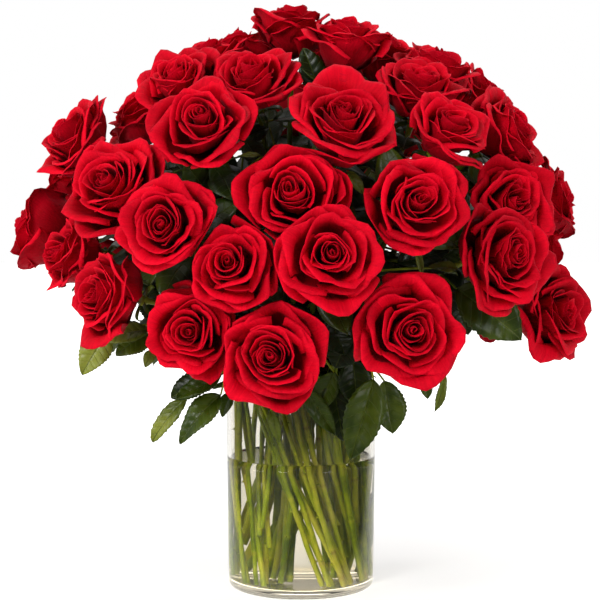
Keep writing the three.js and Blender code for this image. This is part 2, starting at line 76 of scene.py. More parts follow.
# Vase and water.
VASE_HEIGHT = 203
VASE_RIM_RADIUS = 76
VASE_FOOT_RADIUS = 74
VASE_WALL = 4
VASE_FLOOR = 8
VASE_FOOT_CORNER = 6
VASE_INNER_CORNER = 5
VASE_FLOOR_RING = 30
VASE_SIDES = 96
WATER_LEVEL = 132
WATER_SOAK = 0.25
# Water's edge drawn up at the glass: distance from the glass and height over the water.
WATER_EDGE = [(-WATER_SOAK, 1.6), (0.4, 1.3), (1.2, 0.5), (3.0, 0.05)]

# Stems: radii at the foot, at the vase's mouth and at the neck under the bloom, then how their
# paths are laid, with the mouth of an outer group at its distance from the axis in the table below.
STEM_FOOT_RADIUS = 2.9
STEM_MOUTH_RADIUS = 2.7
STEM_NECK_RADIUS = 2.6
STEM_FOOT_LIFT = 1.6
STEM_PULL = 0.33
STEM_SPACING = 6.8
STEM_CLEARANCE = 0.5
CROSSING_OFFSET = 0.55
INNER_FOOT_REACH = 19
OUTER_FOOT_REACH = 55
# How a stem leaves its straight line in the vase: bow aside and outwards, place of the deepest
# bow, stray of its foot aside and inwards, share of its group's shift, and unevenness.
BOW_ASIDE, BOW_OUT, BOW_PLACE = 5.5, (2, 4.5), (0.35, 0.65)
STRAY_ASIDE, STRAY_IN = 9, (0, 6)
SHIFT_SHARE = (0.8, 1.15)
STEM_UNEVENNESS = 0.3
# Hip on which a bloom sits: distance below the bloom and radius.
HIP = [(9, 2.7), (6, 4.2), (3, 5.7), (0.8, 5.6), (0, 3.5)]
# Swollen joint of a stem: place from its middle and share of its full swelling.
JOINT = [(-0.22, 0.25), (0, 1), (0.16, 0.3)]
JOINT_SWELLING = 0.2
SEPALS = 5
SEPAL_LENGTH = (20, 27)
THORN_HEIGHT = (3.0, 4.2)
THORN_SIDES = 5
THORN_EVERY = 4

# Blooms.
BLOOM_WIDTH = 88
EYE_HEIGHT = 46
BODY_CENTRE = 27
PRESS_START = 0.82
BLOOM_GAP = 0.35
BLOOM_OPENNESS = (0.95, 1.25)
STEM_GAP = 0.3
# Where petals are, measured from a bloom's centre: along its axis, and out from it by its width.
PETALS_START, PETALS_END = -6, 26
PETALS_REACH = 0.42

# Stem groups: name, heading at the vase's mouth and at the feet, distance from the axis at the
# mouth, how far the fan is turned from the tangent, and how far the feet are bunched aside.
GROUPS = [
    ("leafy_stems_left", -172, -140, 62, 20, (-6, -6)),
    ("leafy_stems_front_left", -136, -84, 62, -25, (21, 6)),
    ("leafy_stems_front_mid_left", -102, -50, 62, 30, (5, 2)),
    ("leafy_stems_front_mid_right", -68, -19, 62, -20, (7, 0)),
    ("leafy_stems_front_right", -32, 12, 62, 25, (0, 0)),
    ("leafy_stems_right", 12, 50, 62, -15, (-6, 4)),
    ("leafy_stems_back_right", 72, 105, 62, 20, (-5, 0)),
    ("leafy_stems_back_left", 130, 165, 62, -25, (2, 0)),
    ("leafy_stems_inner_left", -150, -100, 19, 30, (-24, -6)),
    ("leafy_stems_inner_right", -30, 20, 19, -30, (11, 0)),
    ("leafy_stems_inner_back", 90, 140, 19, 20, (-9, 0)),
]
# For each number of stems in a group: the place of each one's foot in the row of feet, and the
# side to which each place is offset, so that the stems cross.
CHAINS = {
    3: ([2, 0, 1], [-1, -1, 1]),
    4: ([1, 3, 0, 2], [-1, 1, -1, 1]),
    5: ([1, 3, 0, 4, 2], [-1, 1, -1, 1, 1]),
}

# Roses: x, y, z of the eye, heading and rise of the face, width, turn, and stem group.
ROSES = [
    (-27, -245, 259, -94, 2, 105, 10, 3),
    (-100, -215, 278, -104, 4, 90, 50, 2),
    (99, -235, 279, -76, 6, 103, 31, 4),
    (-64, -240, 338, -100, 10, 96, 5, 3),
    (25, -260, 350, -86, 12, 102, 62, 4),
    (-123, -230, 376, -104, 14, 96, 20, 2),
    (-8, -225, 404, -95, 22, 102, 44, 3),
    (104, -230, 396, -78, 12, 96, 12, 4),
    (-90, -200, 468, -100, 30, 93, 66, 3),
    (40, -190, 475, -80, 42, 108, 25, 4),
    (-45, -140, 515, -100, 50, 90, 8, 9),
    (-120, -110, 515, -125, 45, 86, 37, 9),
    (-230, -60, 460, -150, 38, 94, 55, 1),
    (-180, -165, 415, -115, 30, 104, 15, 2),
    (-189, -175, 308, -146, 8, 97, 41, 2),
    (-230, -110, 345, -155, 18, 86, 60, 1),
    (-270, -40, 365, 172, 15, 88, 38, 1),
    (-255, 45, 395, 165, 25, 86, 28, 1),
    (200, -140, 395, -65, 14, 92, 48, 5),
    (194, -180, 343, -55, 5, 102, 19, 5),
    (258, -74, 286, -42, 6, 104, -2, 6),
    (210, -90, 465, -25, 32, 94, 35, 5),
    (260, -35, 395, -8, 15, 90, 11, 6),
    (255, 45, 350, 12, 5, 88, 52, 6),
    (140, -170, 465, -60, 38, 86, 23, 5),
    (115, -110, 510, -70, 58, 94, 64, 10),
    (135, -50, 530, -40, 62, 90, 17, 10),
    (190, 20, 505, -2, 45, 90, 39, 10),
    (45, -75, 558, -75, 75, 90, 57, 10),
    (-10, -5, 578, -90, 85, 90, 9, 9),
    (-65, 40, 555, 150, 72, 86, 46, 11),
    (-95, -25, 540, -150, 60, 86, 30, 9),
    (-170, -5, 485, -170, 48, 86, 1, 9),
    (88, 0, 550, -30, 72, 84, 53, 10),
    (215, 125, 290, 28, 4, 96, 26, 6),
    (115, 215, 280, 60, 2, 98, 61, 7),
    (-10, 245, 290, 92, 4, 96, 14, 7),
    (-130, 205, 280, 122, 2, 98, 43, 8),
    (-215, 120, 300, 152, 6, 94, 33, 8),
    (190, 150, 390, 38, 18, 96, 7, 6),
    (75, 230, 385, 72, 16, 98, 51, 7),
    (-70, 235, 390, 106, 16, 96, 22, 7),
    (-185, 160, 390, 138, 20, 98, 67, 8),
    (110, 135, 480, 50, 42, 94, 36, 11),
    (0, 175, 490, 92, 44, 94, 13, 11),
    (-120, 130, 480, 132, 42, 94, 59, 11),
    (40, 80, 545, 65, 68, 92, 29, 11),
]

# Petals from the eye outwards: place in the bloom, from 0 to 1, radius and height of the
# shoulder, angle and length of the flared lip, half the wrap round the axis, and how far the sides
# fall away.
PETAL_RINGS = np.array([
    (0.00, 2.4, 46.5, -8, 4.8, 155, 0.10),
    (0.10, 5.8, 47.2, 0, 5.2, 132, 0.12),
    (0.22, 9.6, 46.2, 15, 6.2, 106, 0.17),
    (0.35, 13.8, 43.9, 35, 7.8, 88, 0.25),
    (0.50, 18.8, 40.0, 59, 10.4, 78, 0.34),
    (0.65, 23.8, 35.8, 81, 14.0, 72, 0.40),
    (0.80, 27.8, 30.8, 98, 18.0, 68, 0.43),
    (1.00, 30.8, 24.8, 108, 22.5, 66, 0.44),
])
PETAL_KINDS = 12
PETALS_PER_BLOOM = 30
PETAL_FOOT_HEIGHT = 3
PETAL_EDGE_CURL = 66
LIP_STEPS = 32
# How far the petals of a bloom waver, and the lengths of the waves.
PETAL_WAVER = 1.9
PETAL_WAVES = (50, 25, 12)

# Leaves: carrying rose, place on its stem above the vase, tip, heading and rise of the upper side,
# length and width of the end leaflet, number of leaflets.
LEAVES = [
    (8, 0.6, (145, -150, 326), -80, 60, 58, 30, 1),
    (9, 0.6, (-107, -150, 428), -100, 20, 56, 36, 1),
    (7, 0.75, (-70, -150, 405), -90, 20, 60, 38, 1),
    (10, 0.75, (78, -150, 405), -90, 20, 52, 32, 1),
    (6, 0.6, (-130, -110, 318), -100, 30, 46, 32, 1),
    (35, 0.4, (158, 94, 214), 40, 65, 60, 38, 3),
    (36, 0.4, (83, 167, 209), 66, 65, 60, 38, 3),
    (37, 0.4, (20, 179, 214), 86, 65, 60, 36, 3),
    (38, 0.4, (-101, 150, 210), 128, 65, 60, 38, 3),
    (39, 0.4, (-158, 94, 216), 158, 65, 60, 38, 3),
    (17, 0.4, (-191, -29, 240), -172, 65, 60, 38, 3),
    (40, 0.75, (165, 95, 390), 38, 30, 52, 34, 1),
    (42, 0.75, (0, 170, 390), 95, 30, 52, 34, 1),
    (22, 0.75, (165, -60, 425), -20, 40, 50, 32, 1),
    (14, 0.75, (-142, -130, 314), -110, 20, 50, 32, 1),
    (12, 0.75, (-140, -85, 462), -120, 40, 50, 32, 1),
    (25, 0.75, (95, -120, 436), -80, 30, 50, 32, 1),
    (4, 0.75, (-93, -150, 385), -100, 20, 50, 32, 1),
    (20, 0.6, (161, -100, 365), -70, 20, 52, 34, 1),
]
# Leaves low on the front and in the gaps between the front blooms: carrying rose, place on its
# stem, foot, tip, heading and rise of the upper side, width, and tone from dark, -1, to pale, 1.3.
# The tone is partly the leaf's own colour and partly painted light and shade, raised where a leaf
# lies in shadow.
FRONT_LEAVES = [
    (3, 0.62, (69, -112, 223), (47, -117, 147), -85, 12, 38, 0.1),
    (3, 0.5, (80, -98, 220), (88, -104, 170), -72, 5, 35, 0.1),
    (5, 0.3, (3, -98, 213), (33, -104, 169), -95, 12, 20, -0.1),
    (3, 0.3, (28, -86, 231), (41, -92, 161), -92, 10, 30, -0.5),
    (5, 0.3, (32, -94, 228), (14, -100, 190), -95, 15, 25, 0),
    (2, 0.6, (-74, -128, 230), (-117, -138, 208), -92, 40, 22, -0.1),
    (15, 0.3, (-107, -84, 204), (-144, -84, 159), -122, 25, 20, 0.7),
    (2, 0.45, (-77, -100, 207), (-116, -104, 160), -100, 30, 28, 0.1),
    (2, 0.3, (-68, -88, 208), (-76, -90, 184), -110, 20, 15, -0.2),
    (1, 0.3, (-29, -90, 190), (-21, -93, 160), -90, 5, 11, 0.5),
    (3, 0.75, (115, -148, 228), (118, -150, 209), -80, 10, 12, 0),
    (20, 0.45, (135, -128, 230), (126, -128, 194), -70, 15, 9, 0.5),
    (15, 0.6, (-184, -112, 269), (-207, -124, 229), -88, 20, 31, 1.3),
    (15, 0.45, (-142, -112, 270), (-186, -120, 261), -85, 50, 27, 0.8),
    (15, 0.45, (-141, -112, 251), (-148, -116, 235), -85, 20, 12, 1.3),
    (20, 0.75, (147, -118, 310), (208, -125, 262), -85, 25, 52, -0.1),
    (5, 0.75, (145, -150, 331), (117, -156, 332), -85, 30, 12, 1),
    (10, 0.75, (106, -165, 352), (111, -168, 325), -85, 10, 7, 1),
    (10, 0.75, (43, -165, 420), (57, -170, 399), -85, 20, 11, 0.9),
    (10, 0.75, (36, -160, 402), (45, -165, 385), -85, 20, 12, 0.4),
    (9, 0.75, (-36, -160, 434), (-70, -165, 428), -85, 50, 6, 1.1),
    (9, 0.6, (-84, -150, 428), (-58, -158, 394), -85, 20, 26, -0.3),
    (9, 0.6, (-52, -140, 450), (-36, -145, 426), -85, 20, 22, -0.4),
    (6, 0.6, (-98, -130, 394), (-81, -135, 360), -85, 20, 26, -0.5),
    (5, 0.6, (27, -130, 285), (41, -136, 249), -90, 20, 34, -0.6),
    (5, 0.6, (48, -125, 271), (32, -130, 236), -90, 15, 34, -0.6),
    (8, 0.6, (90, -140, 336), (140, -146, 348), -85, 40, 30, -0.6),
    (3, 0.4, (50, -95, 240), (54, -98, 194), -85, 10, 34, -0.5),
    (15, 0.3, (-145, -108, 266), (-176, -112, 246), -88, 30, 28, 0.5),
    (15, 0.45, (-150, -96, 306), (-136, -100, 272), -85, 25, 24, -0.2),
    (8, 0.45, (68, -55, 346), (98, -60, 306), -85, 20, 32, -0.4),
    (20, 0.45, (141, -66, 334), (148, -70, 280), -85, 20, 30, -0.4),
    (29, 0.88, (20, -58, 490), (2, -58, 540), -85, 20, 28, -0.9),
    (20, 0.45, (150, -64, 300), (163, -70, 262), -85, 20, 30, -0.3),
    (20, 0.6, (158, -60, 335), (168, -64, 292), -80, 15, 30, -0.4),
    (6, 0.75, (-104, -100, 441), (-136, -104, 424), -85, 30, 24, -0.4),
    (7, 0.75, (-30, -100, 462), (-58, -104, 449), -85, 30, 20, -0.4),
    (2, 0.4, (-80, -105, 226), (-124, -108, 205), -95, 35, 28, -0.3),
    (8, 0.6, (85, -135, 330), (130, -140, 318), -85, 30, 30, -0.6),
]
LEAF_ARCH = 0.07
STALK_BOW = 0.12
# Side leaflets: place on the stalk, angle from it, and size beside the end leaflet.
PAIR_PLACE = 0.52
PAIR_ANGLE = 64
PAIR_SIZE = 0.84

# Leaflets: rows, columns, bend along the length, fold at the midrib, twist, wave, and how near to
# the tip they are broadest. The first four are large, with teeth and ribs, and the rest are small.
LEAFLET_SHAPES = [
    (27, 9, 0.14, 0.26, 0.16, 0.030, 0.86), (27, 9, 0.24, 0.20, -0.22, 0.024, 1.1),
    (27, 9, -0.06, 0.32, 0.10, 0.034, 0.95), (27, 9, 0.32, 0.24, 0.24, 0.028, 0.8),
    (11, 5, 0.15, 0.20, 0.12, 0.020, 0.84), (11, 5, 0.30, 0.12, -0.15, 0.016, 0.95),
    (11, 5, -0.05, 0.26, 0.20, 0.026, 0.8),
]
# Ranges of these shapes that end leaflets, other large leaflets and small leaflets are drawn from.
END_LEAFLETS = (0, 3)
LARGE_LEAFLETS = (0, 4)
SMALL_LEAFLETS = (4, 7)
SEPAL_KIND = len(LEAFLET_SHAPES)
LEAFLET_TEETH = 13
TOOTHED_ROWS = 20
LEAFLET_THICKNESS = 0.011
SEPAL_THICKNESS = 0.035
RIBS_PER_LENGTH = 6.5
RIB_SLANT = 2.4

# Roses low on the front, whose leaves are all in the tables above.
BARE_ROSES = {1, 2, 3, 15, 20}
TABLE_LEAF_TONES = (-0.3, 0.3)
# Smaller leaves on each other stem: how many, first place and step along it, length, width beside
# the length, stalk, and tone, kept darker than the table leaves as painted shade inside the
# bouquet. Their tips are above the lowest height, which rises by the slope beyond a radius.
FILLERS = 8
FILLER_PLACE, FILLER_STEP = 0.42, 0.075
FILLER_LENGTH, FILLER_WIDTH, FILLER_STALK = (44, 58), (0.58, 0.7), (6, 14)
FILLER_TONES = (-0.5, 0.1)
FILLER_LOWEST, FILLER_SLOPE, FILLER_RADIUS = 235, 0.35, 120
# Green stems without blooms in each group: how many, how far from the group's headings and from
# the axis they are at the foot and at the vase's mouth, height of the foot, length above the
# vase, bow in the vase and lean outwards above it, girths, and the leaves on that length.
GREEN_STEMS = 2
GREEN_FOOT_SPREAD, GREEN_MOUTH_SPREAD = 12, 24
GREEN_FOOT_REACH, GREEN_MOUTH_REACH = (30, 46), (30, 48)
GREEN_FOOT_HEIGHT, GREEN_TOP_LENGTH = (30, 70), (60, 105)
GREEN_BOW, GREEN_LEAN = 4, 55
GREEN_GIRTH, GREEN_TIP_GIRTH = (2.5, 3.0), 1.6
GREEN_LEAVES = 10
GREEN_LEAF_LENGTH, GREEN_LEAF_WIDTH, GREEN_LEAF_TONES = (40, 54), (0.56, 0.68), (-0.5, 0.0)
# Middle of the bouquet's head, how far from it the smaller leaves reach, and the size of the
# heart between the stems, where leaves and stems get painted shade.
HEART = np.array([0, 0, 330.0])
BOUQUET_REACH = np.array([250, 240, 235.0])
PAINTED_SHADE_REACH = np.array([270, 270, 245.0])

# Colours: of petals from foot to lip, darker at the foot as painted shade and brightest at the lip
# as a painted highlight, of leaves from dark to pale, of stems from green to brown, and of glass and
# water, seen through, edge on and low down.
PETAL_INSIDE = [(0.0, (0.09, 0.0, 0.001)), (0.5, (0.28, 0.0, 0.004)), (0.72, (0.54, 0.0, 0.008)),
                (1.0, (0.74, 0.002, 0.018))]
PETAL_OUTSIDE = [(0.0, (0.14, 0.006, 0.004)), (0.35, (0.36, 0.001, 0.007)),
                 (0.8, (0.52, 0.001, 0.012)), (1.0, (0.62, 0.002, 0.018))]
LEAF_TOP = [(0.2, (0.007, 0.018, 0.0)), (0.42, (0.026, 0.050, 0.0)), (0.6, (0.062, 0.096, 0.003)),
            (0.75, (0.105, 0.140, 0.008)), (1.0, (0.23, 0.26, 0.03))]
LEAF_VEIN = (0.14, 0.18, 0.025)
LEAF_UNDER = (0.075, 0.11, 0.022)
LEAF_UNDER_VEIN = (0.11, 0.15, 0.04)
LEAF_EDGE = (0.09, 0.13, 0.03)
# Painted shade of leaves deep in the bouquet.
LEAF_PAINTED_SHADE = (0.004, 0.008, 0.001)
STEM_SKIN = [(0.25, (0.065, 0.105, 0.0)), (0.45, (0.20, 0.255, 0.004)),
             (0.64, (0.34, 0.345, 0.025)), (0.85, (0.38, 0.32, 0.06))]
STEM_SPECK = (0.09, 0.045, 0.01)
STEM_JOINT = (0.15, 0.07, 0.016)
# Painted shade of stems deep in the bouquet.
STEM_PAINTED_SHADE = (0.02, 0.024, 0.003)
GLASS_BODY, GLASS_RIM, GLASS_FOOT = (0.965, 0.94, 0.875), (0.34, 0.30, 0.19), (0.88, 0.81, 0.64)
WATER_BODY, WATER_RIM = (0.965, 0.945, 0.88), (0.80, 0.76, 0.66)
BLACK, WHITE = (0, 0, 0), (1, 1, 1)

# Floor, in metres.
FLOOR_RADIUS = 7.0
FLOOR_SIDES = 64
FLOOR_PALE = [(0.3, (0.80, 0.795, 0.78)), (0.7, (0.82, 0.815, 0.80))]
# Dark colour of the floor where the glass mirrors it, a painted reflection, and the colour of its glow,
# painted light.
FLOOR_PAINTED_REFLECTION = (0.10, 0.10, 0.095)
FLOOR_GLOW = (1, 0.995, 0.985)
# Lights, in metres: name, place, height on the axis that they aim at, width, height, and watts.
LIGHTS = [
    ("key", (-1.2, -2.1, 1.55), 0.35, 0.8, 0.8, 39),
    ("left", (-2.2, -0.7, 0.9), 0.35, 0.8, 1.0, 13),
    ("fill", (1.7, -1.8, 1.05), 0.3, 0.9, 1.3, 18),
    ("top", (0.2, 0.4, 2.2), 0.3, 1.2, 1.2, 10),
]
# Camera: place in metres, dip, width of its sensor, and side, focal length and shift in pixels.
CAMERA_PLACE = (0, -1.8, 0.414)
CAMERA_DIP = 3.9
SENSOR_WIDTH = 36
PICTURE_SIDE = 600
PICTURE_FOCUS = 1782
PICTURE_SHIFT = -1


def unit(v):
    return v / np.linalg.norm(v)


def direction(heading, rise=0):
    h, r = math.radians(heading), math.radians(rise)
    return np.array([math.cos(r) * math.cos(h), math.cos(r) * math.sin(h), math.sin(r)])


def between(start, end, share):
    return start + (end - start) * share


def round_axis(side, other, angle):
    """Direction at an angle in radians from side towards other."""
    return side * math.cos(angle) + other * math.sin(angle)


def bezier(points, t):
    p0, p1, p2, p3 = points
    u = 1 - t
    return u ** 3 * p0 + 3 * u * u * t * p1 + 3 * u * t * t * p2 + t ** 3 * p3


def hill(x, place, width):
    """Smooth hill, 1 high at its place."""
    return np.exp(-((x - place) / width) ** 2)


# Roses, and where their stems run.


class Rose:
    """A bloom's place, face and size. meet() adds its neighbours and route_stems() its stem."""

    def __init__(self, index, row):
        x, y, z, heading, rise, width, turn, group = row
        self.index, self.number, self.group = index, index + 1, group - 1
        self.axis = direction(heading, rise)
        self.side = unit(np.cross(UP, self.axis))
        self.other = np.cross(self.axis, self.side)
        self.width, self.turn = width, math.radians(turn)
        self.scale = width / BLOOM_WIDTH
        self.depth = 0.5 + 0.5 * self.scale
        self.base = np.array([x, y, z], float) - self.axis * EYE_HEIGHT * self.depth
        self.centre = self.base + self.axis * BODY_CENTRE * self.depth

    def meet(self, roses):
        """Note the planes between this bloom and its neighbours, as normals and distances."""
        normals, reaches = [], []
        for near in roses:
            gap = near.centre - self.centre
            distance = np.linalg.norm(gap)
            if near is self or distance > self.width + near.width:
                continue
            normals.append(gap / distance)
            reaches.append(distance * self.width / (self.width + near.width) - BLOOM_GAP)
        self.normals, self.reaches = np.array(normals), np.array(reaches)

    def pressed(self, points):
        """Points of the bloom after its petals are pressed back from the neighbours' planes."""
        ray = points - self.centre
        length = np.maximum(np.linalg.norm(ray, axis=1), TINY)
        ray = ray / length[:, None]
        facing = ray @ self.normals.T
        room = np.where(facing > TINY, self.reaches / np.maximum(facing, TINY), np.inf).min(axis=1)
        share = length / room
        rest = 1 - PRESS_START
        kept = PRESS_START + rest * (1 - np.exp(-np.maximum(share - PRESS_START, 0) / rest))
        length = np.where(share > PRESS_START, room * kept, length)
        return self.centre + ray * length[:, None]

    def holds(self, spot):
        """Whether a point lies in among the petals."""
        ray = spot - self.centre
        ahead = ray @ self.axis
        aside = np.linalg.norm(ray - ahead * self.axis)
        return PETALS_START < ahead < PETALS_END and aside < PETALS_REACH * self.width


def route_stems(roses):
    """Give every rose the foot, mouth and free curve of its stem, as the solids have them."""
    for g, (_, heading, foot_heading, reach, slant, shift) in enumerate(GROUPS):
        members = [rose for rose in roses if rose.group == g]
        foot_reach = OUTER_FOOT_REACH if reach > OUTER_FOOT_REACH else INNER_FOOT_REACH
        across = direction(heading + 90 + slant)
        across_foot = direction(foot_heading + 90 + slant)
        members.sort(key=lambda rose: rose.base @ across)
        feet, sides = CHAINS[len(members)]
        middle = (len(members) - 1) / 2
        for k, rose in enumerate(members):
            foot = feet[k]
            offset = CROSSING_OFFSET * sides[foot]
            high = direction(heading) * reach + across * STEM_SPACING * (k - middle)
            low = direction(foot_heading) * foot_reach + across_foot * STEM_SPACING * (foot - middle)
            rose.mouth = high + np.cross(UP, across) * offset + UP * VASE_HEIGHT
            rose.foot = low + np.cross(UP, across_foot) * offset + UP * (VASE_FLOOR + STEM_FOOT_LIFT)
            rose.end = rose.pressed(rose.base[None])[0] - rose.axis * STEM_GAP
            straight = unit(rose.mouth - rose.foot)
            span = np.linalg.norm(rose.end - rose.mouth)
            rose.curve = (rose.mouth, rose.mouth + straight * STEM_PULL * span,
                          rose.end - rose.axis * STEM_PULL * span, rose.end)
            rose.foot_shift = np.array(shift)
            rose.sway = -1 if k % 2 else 1
            rose.stoutness = 0.98 + 0.14 * math.sin(3.7 * rose.index)
            rose.hue = 0.5 * math.sin(2.3 * rose.index + 1)


# Meshes.


def new_mesh(name, points, faces, edges=()):
    mesh = bpy.data.meshes.new(name)
    mesh.from_pydata(np.asarray(points, float).tolist(), list(edges), [list(f) for f in faces])
    mesh.update()
    return mesh


def set_attribute(mesh, name, values, kind="FLOAT"):
    attribute = mesh.attributes.new(name, kind, "POINT")
    key = "vector" if kind == "FLOAT_VECTOR" else "value"
    dtype = np.int32 if kind == "INT" else np.float32
    attribute.data.foreach_set(key, np.ascontiguousarray(values, dtype).ravel())


def helper_object(name, mesh, home):
    thing = bpy.data.objects.new(name, mesh)
    home.objects.link(thing)
    return thing


def ring_faces(levels, sides, first=0):
    """Faces between rings of points that lie one above the other."""
    faces = []
    for level in range(levels):
        for k in range(sides):
            a, b = first + level * sides + k, first + level * sides + (k + 1) % sides
            faces.append((a, b, b + sides, a + sides))
    return faces


def blade_mesh(name, grid, thickness, fields):
    """Closed thin blade over a grid of points, thickened along its normals, with named fields.

    grid is (rows, columns, 3), and the thickness and the fields fit (rows, columns). The field
    "under" is added: 0 on the grid's own side and 1 on the other.
    """
    shape = grid.shape[:2]
    along = np.gradient(grid, axis=0)
    across = np.gradient(grid, axis=1)
    normal = np.cross(across, along)
    normal /= np.maximum(np.linalg.norm(normal, axis=2, keepdims=True), TINY)
    lift = normal * np.broadcast_to(thickness, shape)[..., None] / 2
    points = np.concatenate([(grid + lift).reshape(-1, 3), (grid - lift).reshape(-1, 3)])
    n = shape[0] * shape[1]
    index = np.arange(n).reshape(shape)
    a, b = index[:-1, :-1].ravel(), index[:-1, 1:].ravel()
    c, d = index[1:, 1:].ravel(), index[1:, :-1].ravel()
    faces = [*zip(a, b, c, d), *zip(d + n, c + n, b + n, a + n)]
    border = [*index[0, :], *index[1:, -1], *index[-1, -2::-1], *index[-2:0:-1, 0]]
    for p, q in zip(border, border[1:] + border[:1]):
        faces.append((q, p, p + n, q + n))
    mesh = new_mesh(name, points, faces)
    for key, value in fields.items():
        set_attribute(mesh, key, np.tile(np.broadcast_to(value, shape).ravel(), 2))
    set_attribute(mesh, "under", np.repeat([0, 1], n))
    mesh.shade_smooth()
    return mesh


def petal_lip(a, rows, lip, curl, fall, ring, lean):
    """How far out and how far up the rows of a flared lip lie from the petal's shoulder.

    a runs across the petal from -1 to 1. The lip rolls outwards along its length, it is longest in
    the middle, and its last fifth curls over, most at the sides.
    """
    far = np.abs(a)
    steps = np.linspace(0, 1, LIP_STEPS + 1)
    roll = math.radians(curl) * (0.78 + 0.38 * far ** 1.3) * (1 + 0.25 * lean * a)
    length = lip * (1 - fall * far ** 1.5) * (1 + 0.09 * lean * a)
    length = length + (0.5 + 1.1 * ring) * hill(a, 0, 0.2)
    edge = math.radians(PETAL_EDGE_CURL) * min(1, 2.5 * ring) * (0.3 + 0.8 * far)
    rim = np.clip((steps[:, None] - 0.8) / 0.2, 0, 1) ** 1.2
    angle = roll[None] * steps[:, None] ** 1.1 + edge[None] * rim
    middle = (angle[1:] + angle[:-1]) / 2
    moved = []
    for slope in (np.sin(middle), np.cos(middle)):
        fine = np.vstack([np.zeros(len(a)), np.cumsum(slope, axis=0)]) * length / LIP_STEPS
        moved.append(np.array([[np.interp(s, steps, column) for column in fine.T] for s in rows]))
    return moved


def petal_grid(ring, lean):
    """Middle surface, thickness and fields of a petal that faces +X from the axis.

    A cup rises from the petal's foot to its shoulder, and the flared lip goes on from there.
    """
    body, shoulder, curl, lip, wrap, fall = (
        np.interp(ring, PETAL_RINGS[:, 0], PETAL_RINGS[:, k]) for k in range(1, 7)
    )
    cup_rows = np.linspace(0, 1, 3 if ring < 0.5 else 4) ** 0.8
    lip_rows = np.linspace(0, 1, 5 + round(3 * ring))[1:] ** 0.75
    a = np.linspace(-1, 1, 14 if ring < 0.2 else 11 if ring < 0.5 else 16)
    a = np.sign(a) * np.abs(a) ** 0.9
    far = np.abs(a)
    low = PETAL_FOOT_HEIGHT
    top = low + (shoulder - low) * (1 - 0.15 * far ** 2.4)
    root = 2.2 + 1.6 * ring
    t = cup_rows[:, None]
    z = bezier((low, low + 0.16 * (top - low), low + 0.62 * (top - low), top), t)
    r = np.broadcast_to(bezier((root, root + 0.42 * (body - root), body, body), t), z.shape)
    out, up = petal_lip(a, lip_rows, lip, curl, fall, ring, lean)
    r = np.vstack([r, r[-1] + out])
    z = np.vstack([z, z[-1] + up])

    # Wrap round the axis, spiral overlap, pointed middle, dents beside it, and a ruffled rim.
    height = np.clip((z - low) / (shoulder - low), 0, 1)
    lift = np.concatenate([0 * cup_rows, lip_rows])[:, None]
    theta = a[None] * math.radians(wrap) * (0.5 + 0.5 * height ** 0.8) * (1 - 0.1 * ring * lift)
    r = r + (1.0 + 0.6 * ring) * a[None] * height
    corner = hill(a[None], 0, 0.2) - 0.75 * hill(far[None], 0.52, 0.24)
    r = r * (1 + 0.042 * min(1, 0.4 + 1.2 * ring) * corner * np.clip(2 * height - 0.9, 0, 1))
    r = r + 1.1 * ring * np.sin(5.3 * a[None] + 7 * ring + 2) * height ** 4
    ruffle = np.sin(7.0 * a[None] + 11 * ring) + 0.5 * np.sin(9.5 * a[None] + 23 * ring)
    z = z + (0.3 + 1.0 * ring) * ruffle * lift ** 1.5
    r = np.maximum(r, 0.4)
    along = np.concatenate([cup_rows * 0.6, 0.6 + 0.4 * lip_rows])[:, None]
    grid = np.stack([r * np.cos(theta), r * np.sin(theta), z], axis=2)
    return grid, 0.5 - 0.3 * along, {"along": along, "across": a[None], "ring": ring}


def leaflet_grid(rows, columns, bend, fold, twist, wave, broad):
    """Leaflet along +X, one unit long and one unit wide, upper side towards +Z."""
    detail = rows > TOOTHED_ROWS
    s = np.linspace(0, 1, rows)
    a = np.linspace(1, -1, columns)
    half = 0.5 * np.sin(np.pi * s ** broad) ** 0.72 * (1 - 0.12 * s)
    half[0] = half[-1] = 0.004
    bite = 0.075 * detail * (1 - 2 * np.mod(LEAFLET_TEETH * s, 1)) * np.minimum(1, 6 * s * (1 - s))
    width = half[:, None] * (1 + bite[:, None] * np.abs(a[None]) ** 3)
    y = a[None] * width
    x = np.repeat(s[:, None], columns, axis=1)
    ribs = np.cos(2 * np.pi * (RIBS_PER_LENGTH * x - RIB_SLANT * np.abs(y)))
    z = fold * np.abs(y) - 0.008 * hill(y, 0, 0.03)
    z = z - 0.3 * y * y + 0.012 * detail * ribs * np.minimum(1, 8 * np.abs(y))
    z = z + wave * np.sin(9 * s[:, None] + 2) * (np.abs(a[None]) ** 2) * np.sign(a[None])
    z = z + bend * 4 * x * (1 - x) * 0.35 + twist * y * (x - 0.3)
    return np.stack([x, y, z], axis=2), LEAFLET_THICKNESS, {"along": x, "across": a[None], "ring": y}


def sepal_grid():
    """Sepal along +X from the hip, one unit long, bent outwards and down."""
    s = np.linspace(0, 1, 8)
    a = np.linspace(1, -1, 3)
    half = 0.13 * np.sin(np.pi * np.minimum(1, 0.18 + 0.82 * s)) ** 0.8 + 0.006
    x = np.repeat((np.sin(1.9 * s) / 1.3)[:, None], len(a), axis=1)
    y = a[None] * half[:, None]
    z = (0.32 * s - 0.55 * s ** 2.2)[:, None] + 0.35 * np.abs(y) - 0.02
    fields = {"along": s[:, None], "across": a[None], "ring": y}
    return np.stack([x, y, z], axis=2), SEPAL_THICKNESS, fields


